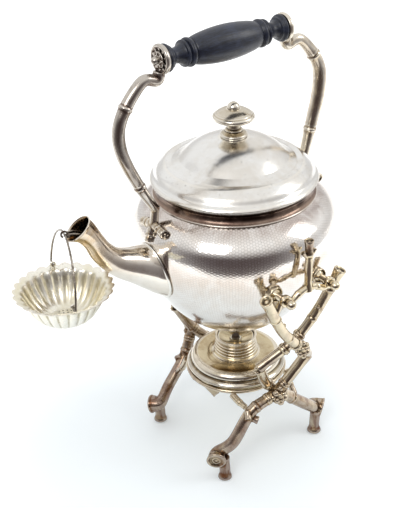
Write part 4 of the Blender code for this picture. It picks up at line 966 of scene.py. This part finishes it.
# start and end radius, rings, flares, hollowed ends, seed
looks = {
    "stem_fore": (0.0045, 0.0045, (0.24, 0.52), (1.26, 1.0), (0.0016, 0.0), 0.3),
    "stem_aft": (0.0045, 0.0045, (0.17, 0.44), (1.24, 1.10), (0.0016, 0.0), 1.4),
    "leg_fore": (0.0048, 0.0058, (0.49,), (1.10, 1.46), (0.0, 0.0007), 2.2),
    "leg_aft": (0.0048, 0.0058, (0.56,), (1.0, 1.46), (0.0, 0.0007), 3.1)}

for side, hand in ((left, "left"), (right, "right")):
    shape = bmesh.new()
    runs = {}
    for kind, points in stand_paths(side).items():
        start, end_r, knots, flare, dish, seed = looks[kind]
        path = [on_stand(x, y * side, z) for x, y, z in points]
        runs[kind] = bamboo(shape, path, start, end_r, knots, flare, dish, seed + side,
                            flare_length=0.0085 if dish[1] else 0.0060, step=0.0010, sides=26,
                            ring=0.08)
        if dish[1]:
            # the cut foot end: a thick rim, a growth ring and the pith
            out = (path[-1] - runs[kind][-4]).normalized()
            hoop_ring(shape, path[-1] - out * 0.0005, out, end_r * 1.30, 0.0011, 30, 10)
            hoop_ring(shape, path[-1] - out * 0.0004, out, end_r * 0.56, 0.0005, 24, 8)
            blob(shape, path[-1] - out * 0.0008, [0.0012] * 3)
    for end, label in ((fore, "fore"), (aft, "aft")):
        # crook: a short cut twig that holds the stud in the fork
        crook_y = side * (eye_in - 2 * gap - 0.0030)
        run = runs[f"stem_{label}"]
        low = run[int(len(run) * (0.20 if end == fore else 0.14))]
        tip = on_stand(end * (stud_reach - 0.0012), crook_y, stud_z + 0.0002)
        bamboo(shape, [low, low.lerp(tip, 0.6) + Vector((0, 0, -0.0012)), tip], 0.0034, 0.0030,
               (), (1.0, 1.12), (0.0, 0.0008), seed=end, buds=False, flare_length=0.003)
        # a cut side shoot below the fork
        knee = run[int(len(run) * 0.31)]
        bamboo(shape, [knee, knee + Vector((-end * 0.0058, side * 0.0012, -0.0032))], 0.0026,
               0.0021, (), (1.0, 1.15), (0.0, 0.0006), seed=1.1, buds=False, flare_length=0.002)
        # stub foot, stout and flared at its base
        stub = [on_stand(end * 0.0524, side * 0.0500, 0.0225),
                on_stand(end * 0.0517, side * 0.0500, 0.0140),
                on_stand(end * 0.0513, side * 0.0500, 0.0060),
                on_stand(end * 0.0513, side * 0.0500, 0.0003)]
        bamboo(shape, stub, 0.0048, 0.0050, (), (1.12, 1.30), seed=end + 4, buds=False,
               flare_length=0.0034)
    # short cut shoots on the legs, and one that runs in beside the strut
    knee = runs["leg_fore"][int(len(runs["leg_fore"]) * 0.58)]
    bamboo(shape, [knee, knee + Vector((0.0062, side * 0.0066, -0.0030))], 0.0036, 0.0031, (),
           (1.0, 1.2), (0.0, 0.0006), seed=0.2, buds=False, flare_length=0.002)
    twig = knee + Vector((-0.0030, side * 0.0050, 0.0010))
    bamboo(shape, [knee + Vector((0.0, 0.0, 0.0060)), twig], 0.0030, 0.0026, (), (1.0, 1.15),
           (0.0, 0.0005), seed=0.6, buds=False, flare_length=0.002)
    # lashings: cord turns beside each crossing
    for kind, share in (("stem_fore", 0.72), ("stem_aft", 0.68), ("leg_fore", 0.33),
                        ("leg_aft", 0.31)):
        run = runs[kind]
        for turn in (-0.085, -0.066, 0.066, 0.085):
            k = int(len(run) * (share + turn))
            hoop_ring(shape, run[k], run[k + 1] - run[k - 1], 0.0046, 0.0010)
    # and a bunch of round buds, big ones outside and a crowd of small ones between
    for centre, size in ((on_stand(0.0040, side * 0.0846, 0.1305), 1.10),
                         (on_stand(-0.0030, side * 0.0652, 0.0755), 1.30),
                         (on_stand(-0.0225, side * 0.0612, 0.1085), 0.80)):
        for across, out, up, r in ((0, 0, 0, 3.2), (3.8, -0.4, 1.8, 2.3), (-3.5, -0.4, 2.4, 2.2),
                                   (3.4, 0.4, -3.4, 2.6), (-3.0, 0.4, -3.0, 2.4),
                                   (0.4, -0.4, 4.8, 2.1),
                                   (0.0, 0.6, -5.6, 2.4), (5.4, -0.8, -1.2, 1.7),
                                   (-5.2, -0.8, -0.6, 1.6),
                                   (-0.4, 2.2, -2.4, 1.6), (1.5, 2.3, 1.4, 1.5),
                                   (-1.9, 1.9, 1.7, 1.3)):
            blob(shape, centre + Vector((across, side * out, up)) * 0.001 * size,
                 [r * 0.001 * size] * 3, rows=10, columns=14)
            # a dimple's rim on each bud
            hoop_ring(shape, centre + Vector((across, side * (out + r * 0.78), up)) * 0.001 * size,
                      (0, side, 0.2), r * 0.00042 * size, 0.00035 * size, 14, 6)
    mesh = fused(f"bamboo_side_{hand}", shape, 0.00048, 3)
    # the studs' way in stays open
    for end in (fore, aft):
        shape = bmesh.new()
        spot = on_stand(end * stud_reach, 0, stud_z)
        rod(shape, [Vector((spot.x, side * 0.0800, spot.z)),
                    Vector((spot.x, side * 0.0965, spot.z))],
            lambda s, a: 0.0033, 24)
        mesh = trimmed(mesh, to_mesh("seat", shape), f"bamboo_side_{hand}")
    nodes = [f"{kind}_{hand}" for kind in looks] + [f"knot_upper_{hand}", f"knot_lower_{hand}"]
    piece(f"bamboo_side_{hand}", mesh, cast_silver, "stand", "tarnished_silver", *nodes,
          cavity=1.6)

# Lamp hoop and struts
lamp_top, lamp_bottom, lamp_r, bead = 0.0850, 0.0525, 0.0414, 0.0020
hoop_r, hoop_t, strut_reach = 0.0428, 0.0018, 0.0290
hoop_z = lamp_top - 6.3 * bead - hoop_t * 0.87 - gap
shape = bmesh.new()
hoop_ring(shape, (kettle_x, 0, hoop_z), (0, 0, 1), hoop_r, hoop_t, 150, 14)
for side in (left, right):
    a = math.radians(23.0)
    out = Vector((-math.cos(a), side * math.sin(a), 0))
    across = Vector((0, 0, 1)).cross(out)
    root = Vector((kettle_x, 0, hoop_z)) + out * hoop_r
    for n, (fall, half_w, thick) in enumerate(((0.0, 0.0088, 0.0017), (0.0020, 0.0082, 0.0016),
                                               (0.0040, 0.0068, 0.0015), (0.0060, 0.0050, 0.0014),
                                               (0.0080, 0.0032, 0.0013),
                                               (0.0100, 0.0016, 0.0012))):
        blob(shape, root - Vector((0, 0, fall)) - out * fall * 0.35,
             (thick, half_w, 0.0019), Matrix((out, across, (0, 0, 1))).transposed().to_4x4())
piece("lamp_hoop_cast", fused("lamp_hoop_cast", shape, 0.00050, 2), cast_silver, "stand",
      "tarnished_silver", "lamp_hoop", cavity=1.2)

for side, hand in ((left, "left"), (right, "right")):
    for end, label in ((fore, "fore"), (aft, "aft")):
        shape = bmesh.new()
        low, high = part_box(f"strut_{label}_{hand}")
        x = kettle_x + end * strut_reach
        y_hoop = math.sqrt(hoop_r ** 2 - strut_reach ** 2)
        inner_p = Vector((kettle_x + end * strut_reach * 1.03, side * (y_hoop + hoop_t),
                          hoop_z - hoop_t))
        y_out = low[1] if side == left else high[1]
        outer_p = Vector((x, y_out - side * 0.0024, low[2] + 0.0022))
        mid = inner_p.lerp(outer_p, 0.5) + Vector((0, -side * 0.0008, -0.0008))
        bamboo(shape, [inner_p, mid, outer_p], 0.0031, 0.0027, (0.55,), (1.08, 1.0),
               seed=end + side, step=0.0008)
        piece(f"strut_twig_{label}_{hand}", fused(f"strut_twig_{label}_{hand}", shape, 0.0004, 1),
              cast_silver, "stand", "tarnished_silver", f"strut_{label}_{hand}", cavity=1.4)

# Lamp
throat_r = 0.0150
lamp_line = outline(
    [(0.0, lamp_bottom + wall), (lamp_r * 0.46, lamp_bottom + 2.4 * wall),
     (lamp_r * 0.82, lamp_bottom + 10 * wall), (lamp_r * 0.90, lamp_top - 5 * bead),
     (lamp_r * 0.84, lamp_top - 1.4 * bead)],
    [(throat_r, lamp_top - wall)], [(throat_r, lamp_top)],
    [(lamp_r * 0.49, lamp_top), (lamp_r * 0.56, lamp_top - 0.0012),
     (lamp_r * 0.65, lamp_top - 0.0016), (lamp_r * 0.75, lamp_top - 0.0010),
     (lamp_r * 0.82, lamp_top - 0.0001), (lamp_r * 0.86, lamp_top - 0.0001),
     (lamp_r * 0.905, lamp_top - 0.0009), (lamp_r * 0.945, lamp_top - 0.0026),
     (lamp_r * 0.962, lamp_top - 0.0046), (lamp_r * 0.960, lamp_top - 0.0058)],
    [(lamp_r * 0.945, lamp_top - 0.0062)], [(lamp_r * 0.965, lamp_top - 0.0068),
     (lamp_r * 1.005, lamp_top - 0.0078), (lamp_r + bead * 0.85, lamp_top - 0.0092),
     (lamp_r + bead, lamp_top - 0.0104), (lamp_r + bead * 0.6, lamp_top - 0.0114)],
    [(lamp_r - bead * 0.5, lamp_top - 6.4 * bead)], [(lamp_r * 0.955, lamp_top - 8.6 * bead),
     (lamp_r * 0.88, lamp_bottom + 9.5 * wall), (lamp_r * 0.72, lamp_bottom + 4.2 * wall),
     (lamp_r * 0.50, lamp_bottom + 1.2 * wall), (lamp_r * 0.30, lamp_bottom),
     (0.0, lamp_bottom)], step=0.0007)
piece("lamp_bowl", lathe("lamp_bowl", lamp_line, 128), lamp_silver, "lamp", "silver_plate",
      "lamp_reservoir", cavity=1.3)

cr, ch, cw = 0.0176, 0.0170, 0.0016
cb = lamp_top + gap
ct = cb + ch
ring_top = ct - ch * 0.28
runs = [[(cr - cw, ct - 0.0012), (cr - cw * 0.6, ct - 0.0002), (cr, ct), (cr * 1.035, ct - 0.0006),
         (cr * 1.035, ct - 0.0012)],
        [(cr * 0.985, ct - 0.0015)], [(cr * 1.02, ct - 0.0020), (cr * 1.015, ct - 0.0027),
         (cr * 0.965, ct - 0.0036), (cr * 0.935, ct - 0.0056), (cr * 0.935, ring_top - 0.0006)]]
rib_low = cb + 0.0018
for i in range(4):
    p = (ring_top - rib_low) / 4
    z, grow = ring_top - p * i, 1.0 + 0.035 * i
    runs.append([(cr * 0.915 * grow, z)])
    runs.append([(cr * 0.985 * grow, z - p * 0.2), (cr * 1.01 * grow, z - p * 0.45),
                 (cr * 0.985 * grow, z - p * 0.72), (cr * 0.915 * (grow + 0.035), z - p * 0.98)])
runs += [[(cr * 1.045, rib_low)], [(cr * 1.09, cb + 0.0008), (cr * 1.17, cb)],
         [(throat_r * 0.62, cb)], [(throat_r * 0.62, cb + cw)], [(throat_r * 0.84, cb + cw)],
         [(cr - cw, cb + 3.0 * cw)]]
piece("ribbed_collar", lathe("ribbed_collar", outline(*runs, step=0.0004), 96), lamp_silver,
      "lamp", "silver_plate", "burner_collar", cavity=1.6)

tube_top = ct - ch * 0.25
floor_z = cb + cw + gap
tube_r, wick_r = 0.0046, 0.0036
runs = [[(wick_r + gap, tube_top), (tube_r, tube_top)], [(tube_r, tube_top - 0.0012)],
        [(tube_r * 1.25, tube_top - 0.0014), (cr * 0.62, tube_top + 0.0002),
         (cr * 0.885, tube_top + 0.0022)],
        [(cr * 0.89, tube_top + 0.0016), (cr * 0.87, tube_top + 0.0010)],
        [(cr * 0.60, tube_top - 0.0010), (tube_r * 1.2, tube_top - 0.0026),
         (tube_r * 0.94, tube_top - 0.0040), (tube_r * 0.94, floor_z + 0.0032),
         (tube_r * 1.05, floor_z + 0.0022)],
        [(throat_r * 0.70, floor_z + cw), (throat_r * 0.80, floor_z)], [(wick_r + gap, floor_z)]]
piece("burner_tube", lathe("burner_tube", outline(*runs, step=0.0005), 48), lamp_silver, "lamp",
      "silver_plate", "wick_tube", cavity=1.4)
shape = bmesh.new()
wick_low = lamp_bottom + 6 * wall
wick_run = smooth_run([(kettle_x, 0, wick_low), (kettle_x, 0, (wick_low + tube_top) / 2),
                       (kettle_x, 0, tube_top + 0.0030)], 0.0006)
rod(shape, wick_run, lambda s, a: wick_r * (0.93 + 0.05 * math.sin(a * 3 + s * 90))
    * (1.0 if s < 0.97 else 0.86), 24)
piece("braided_wick", to_mesh("braided_wick", shape), cotton, "lamp", "cotton", "wick")
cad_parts["grip_rod"].material_slots[0].material = steel

# Strainer
turn = Matrix.Rotation(-math.radians(16.0), 4, "Z")
bowl_place = Matrix.Translation((kettle_x - 0.16260, 0, 0.2119)) @ turn
bowl_r, bowl_deep, flutes, scallop = 0.0366, 0.0272, 24, 0.0010
shape = bmesh.new()
count = flutes * 10
profile = smooth_run([(1.000, 0.000, 1.0), (0.965, 0.022, 0.95), (0.920, 0.060, 0.80),
                      (0.875, 0.130, 0.65), (0.835, 0.240, 0.60), (0.785, 0.400, 0.60),
                      (0.710, 0.590, 0.60), (0.610, 0.780, 0.50), (0.490, 0.915, 0.30),
                      (0.380, 0.970, 0.12), (0.301, 0.985, 0.0)], 0.026)


def bowl_row(values, inset):
    radius, depth, flute = values
    row = []
    for i in range(count):
        a = 2 * math.pi * i / count
        wave = 2 * abs(math.cos(a * flutes / 2)) - 1
        r = bowl_r * (radius + 0.03 * max(0.0, 1 - depth * 12)) + wave * scallop * flute - inset
        dip = (0.5 - 0.5 * wave) * 0.0010 * max(0.0, 1 - depth * 9)
        z = -bowl_deep * depth - dip + inset * depth
        row.append(shape.verts.new(bowl_place @ Vector((r * math.cos(a), r * math.sin(a), z))))
    return row


outer_rows = [bowl_row(p, 0.0) for p in profile]
inner_rows = [bowl_row(p, 0.0008) for p in profile]
for rows in (outer_rows, inner_rows):
    for low, high in zip(rows, rows[1:]):
        strip(shape, low, high)
strip(shape, outer_rows[0], inner_rows[0])
shape.faces.new(outer_rows[-1])
shape.faces.new(inner_rows[-1])
piece("fluted_bowl", to_mesh("fluted_bowl", shape), strainer_silver, "strainer",
      "strainer_silver", "strainer_bowl", cavity=2.0)

# dark spots at the foot of the bowl, inside and outside, as in the photo: painted shadow standing
# for pierced holes
shape = bmesh.new()
for ring, (r, number) in enumerate(((0.0, 1), (0.0030, 6), (0.0062, 12), (0.0094, 18))):
    for i in range(number):
        a = 2 * math.pi * i / number + ring * 0.3
        for z in (-bowl_deep * 0.985 - 0.00005, -bowl_deep * 0.985 + 0.00085):
            spot = bowl_place @ Vector((r * math.cos(a), r * math.sin(a), z))
            blob(shape, spot, (0.00062, 0.00062, 0.00008), rows=4, columns=10)
hole = Tree("pierced_hole_shadow", 0.8)
dust = hole.noise(900.0)
hole_mat = hole.finish(Base_Color=hole.mix(dust, colour("#120d09"), colour("#2c2119")),
                       Roughness=hole.ramp(dust, 0.3, 0.7, 0.6, 0.95))
piece("bowl_hole_shadows", to_mesh("bowl_hole_shadows", shape), hole_mat, "strainer", "strainer_silver")

lug_z, lug_t = 0.0026, 0.0016
lug_y = bowl_r - scallop - 0.0009 - lug_t
for side, hand in ((left, "left"), (right, "right")):
    shape = bmesh.new()
    hoop_ring(shape, bowl_place @ Vector((0, side * lug_y, lug_z)),
              bowl_place.to_3x3() @ Vector((0, 1, 0)), 0.0018, 0.00075, 28, 12)
    post = smooth_run([bowl_place @ Vector((0, side * lug_y, lug_z - 0.0016)),
                       bowl_place @ Vector((0, side * (lug_y + 0.0002), -0.0018))], 0.0004)
    rod(shape, post, lambda s, a: 0.0011 + 0.0007 * s, 16)
    piece(f"bail_lug_{hand}", fused(f"bail_lug_{hand}", shape, 0.00022, 1), strainer_silver,
          "strainer", "strainer_silver", f"strainer_lug_{hand}", cavity=1.0)

wire_r, bail_rise = 0.0008, 0.0415
bail_half = bowl_r + 0.0026


def bail_point(y, z):
    return bowl_place @ Vector((0.0048 * max(0.0, z - lug_z) / bail_rise, y, z))


half_path = [(lug_y - lug_t * 1.4, lug_z), (bail_half - wire_r, lug_z)]
half_path += [(bail_half * s, lug_z + wire_r + bail_rise * h) for s, h in (
    (1.00, 0.06), (0.95, 0.30), (0.79, 0.58), (0.55, 0.81), (0.27, 0.96), (0.10, 1.00))]
path = [bail_point(-y, z) for y, z in half_path] + [bail_point(0, lug_z + wire_r + bail_rise)]
path += [bail_point(y, z) for y, z in half_path[::-1]]
shape = bmesh.new()
rod(shape, smooth_run(path, 0.0008), lambda s, a: wire_r, 14)
piece("wire_bail", to_mesh("wire_bail", shape), wire, "bail", "strainer_silver", "strainer_bail")

eye_at = bail_point(0, lug_z + wire_r + bail_rise)
path = [turn @ Vector((0.0024 * math.cos(a), 0, 0.0024 * math.sin(a))) + eye_at
        for a in (math.radians(-40 + 28.0 * i) for i in range(11))][::-1]
mouth = Vector((kettle_x - reach, 0, mouth_z))
slope = math.radians(37.0)
down = Vector((math.sin(slope), 0, -math.cos(slope)))
inward = Vector((math.cos(slope), 0, math.sin(slope)))
path += [mouth - inward * mouth_high * 0.62 - down * wire_r * 3.2,
         mouth - inward * mouth_high * 0.30 + down * wire_r * 2.0, mouth + down * mouth_high * 0.8]
shape = bmesh.new()
rod(shape, smooth_run(path, 0.0006), lambda s, a: wire_r, 12)
for y in (-1.0, 1.0):
    # a second and third strand, bowed apart in the mouth
    strand = [path[-4] + Vector((0, 0.0006 * y, 0.0004)),
              path[-3] + Vector((-0.0006, 0.0018 * y, 0.0014)),
              path[-2] + Vector((0.0004, 0.0034 * y, 0.0010)),
              path[-1] + Vector((0, 0.0030 * y, 0.0016))]
    rod(shape, smooth_run(strand, 0.0006), lambda s, a: wire_r * 0.85, 12)
for k in range(3):
    # the strands are bound by three turns beside the eye
    hoop_ring(shape, path[-4] + (path[-3] - path[-4]) * (0.10 + 0.16 * k), path[-3] - path[-4],
              0.0014, 0.00055, 20, 8)
piece("spring_clip", to_mesh("spring_clip", shape), wire, "kettle", "steel", "spout_clip")

# Floor, light, camera
azimuth, elevation, roll = math.radians(-35.5), math.radians(30.0), math.radians(-1.5)
ahead = Vector((math.sin(azimuth), -math.cos(azimuth), 0))
beside = Vector((math.cos(azimuth), math.sin(azimuth), 0))
floor_mesh = bpy.data.meshes.new("studio_floor")
middle = Vector((kettle_x, 0, -0.0002))
corners = [middle + beside * x + ahead * y for x, y in (
    (-4, -4), (4, -4), (4, -1.2), (1.1, -0.40), (0.55, 0.05), (0.30, 0.29), (0.0, 0.325),
    (-0.30, 0.29), (-0.55, 0.05), (-1.1, -0.40), (-4, -1.2))]
floor_mesh.from_pydata(corners, [], [tuple(range(len(corners)))[::-1]])
floor = shown("studio_floor", floor_mesh)
t = Tree("white_paper_sweep", 0.9)
grain = t.noise(6.0)
far = t.ramp(t.add("ShaderNodeVectorMath", {0: t.place}, operation="LENGTH").outputs["Value"],
             0.10, 0.34)
paper = t.mix(grain, colour("#f3fbff"), colour("#f6fcff"))
paper = t.mix(far, paper, colour("#fafbfb"))
t.finish(Base_Color=paper, Emission_Color=colour("#ffffff"),
         Emission_Strength=t.math("ADD", t.math("MULTIPLY", far, 0.34), 0.05))
floor_mesh.materials.append(t.mat)

world = bpy.data.worlds.new("studio")
bpy.context.scene.world = world
world.use_nodes = True
w = Nodes(world.node_tree)


def product(a, b):
    return w.math("MULTIPLY", a, b)


split = w.add("ShaderNodeSeparateXYZ", {
    0: w.add("ShaderNodeTexCoord").outputs["Generated"]}).outputs
towards = w.math("ADD", product(split[0], ahead.x), product(split[1], ahead.y))
across = w.math("ADD", product(split[0], beside.x), product(split[1], beside.y))
height = split[2]
# the dark room behind the photographer, soft towards the lamps and towards the sides
room = product(w.ramp(height, 0.10, 0.76, 1.0, 0.0), w.ramp(towards, -0.50, 1.00))
# the dimmer room all round
belt = product(w.ramp(height, -0.10, 0.00), w.ramp(height, 0.10, 0.40, 0.25, 0.0))
# gaps between the soft boxes
seams = [product(w.ramp(w.math("ABSOLUTE", w.math("ADD", across, shift)), 0.004, 0.030, 1.0, 0.0),
                 w.ramp(height, top, bottom))
         for shift, top, bottom in ((-0.66, 0.75, 0.4), (0.74, 0.85, 0.5))]
dark = w.math("MAXIMUM", w.math("MAXIMUM", room, belt), product(w.math("MAXIMUM", *seams), 0.3))
# the camera sees plain white
unseen = w.math("SUBTRACT", 1.0, w.add("ShaderNodeLightPath").outputs["Is Camera Ray"])
background = w.nodes["Background"]
w.put(background.inputs["Color"], w.mix(product(dark, unseen), [1.0] * 4, colour("#5c5354")))
background.inputs["Strength"].default_value = 1.0


def soft_box(name, place, target, size, power):
    data = bpy.data.lights.new(name, "AREA")
    data.shape = "RECTANGLE"
    data.size, data.size_y = size
    data.energy = power
    obj = shown(name, data)
    obj.location = place
    obj.rotation_euler = (Vector(target) - Vector(place)).to_track_quat("-Z", "Y").to_euler()


soft_box("soft_box_left", (-0.9, -0.5, 1.1), (0, 0, 0.2), (0.6, 0.6), 4.3)
soft_box("soft_box_right", (1.0, -0.7, 1.0), (0, 0, 0.2), (0.5, 0.7), 3.1)

camera_data = bpy.data.cameras.new("camera")
camera_data.sensor_width = 36.0
camera_data.lens = 36.0 * 1046.8 / 508
camera = shown("camera", camera_data)
back = Vector((math.sin(azimuth) * math.cos(elevation), -math.cos(azimuth) * math.cos(elevation),
               math.sin(elevation)))
above = back.cross(beside)
turned_x = beside * math.cos(roll) + above * math.sin(roll)
turned_y = above * math.cos(roll) - beside * math.sin(roll)
place = Vector((-0.4643 + kettle_x, -0.6075, 0.6248))
camera.matrix_world = Matrix((
    (turned_x.x, turned_y.x, back.x, place.x), (turned_x.y, turned_y.y, back.y, place.y),
    (turned_x.z, turned_y.z, back.z, place.z), (0, 0, 0, 1)))
camera_data.clip_start = 0.01
bpy.context.scene.camera = camera
bpy.context.scene.view_settings.view_transform = "Standard"
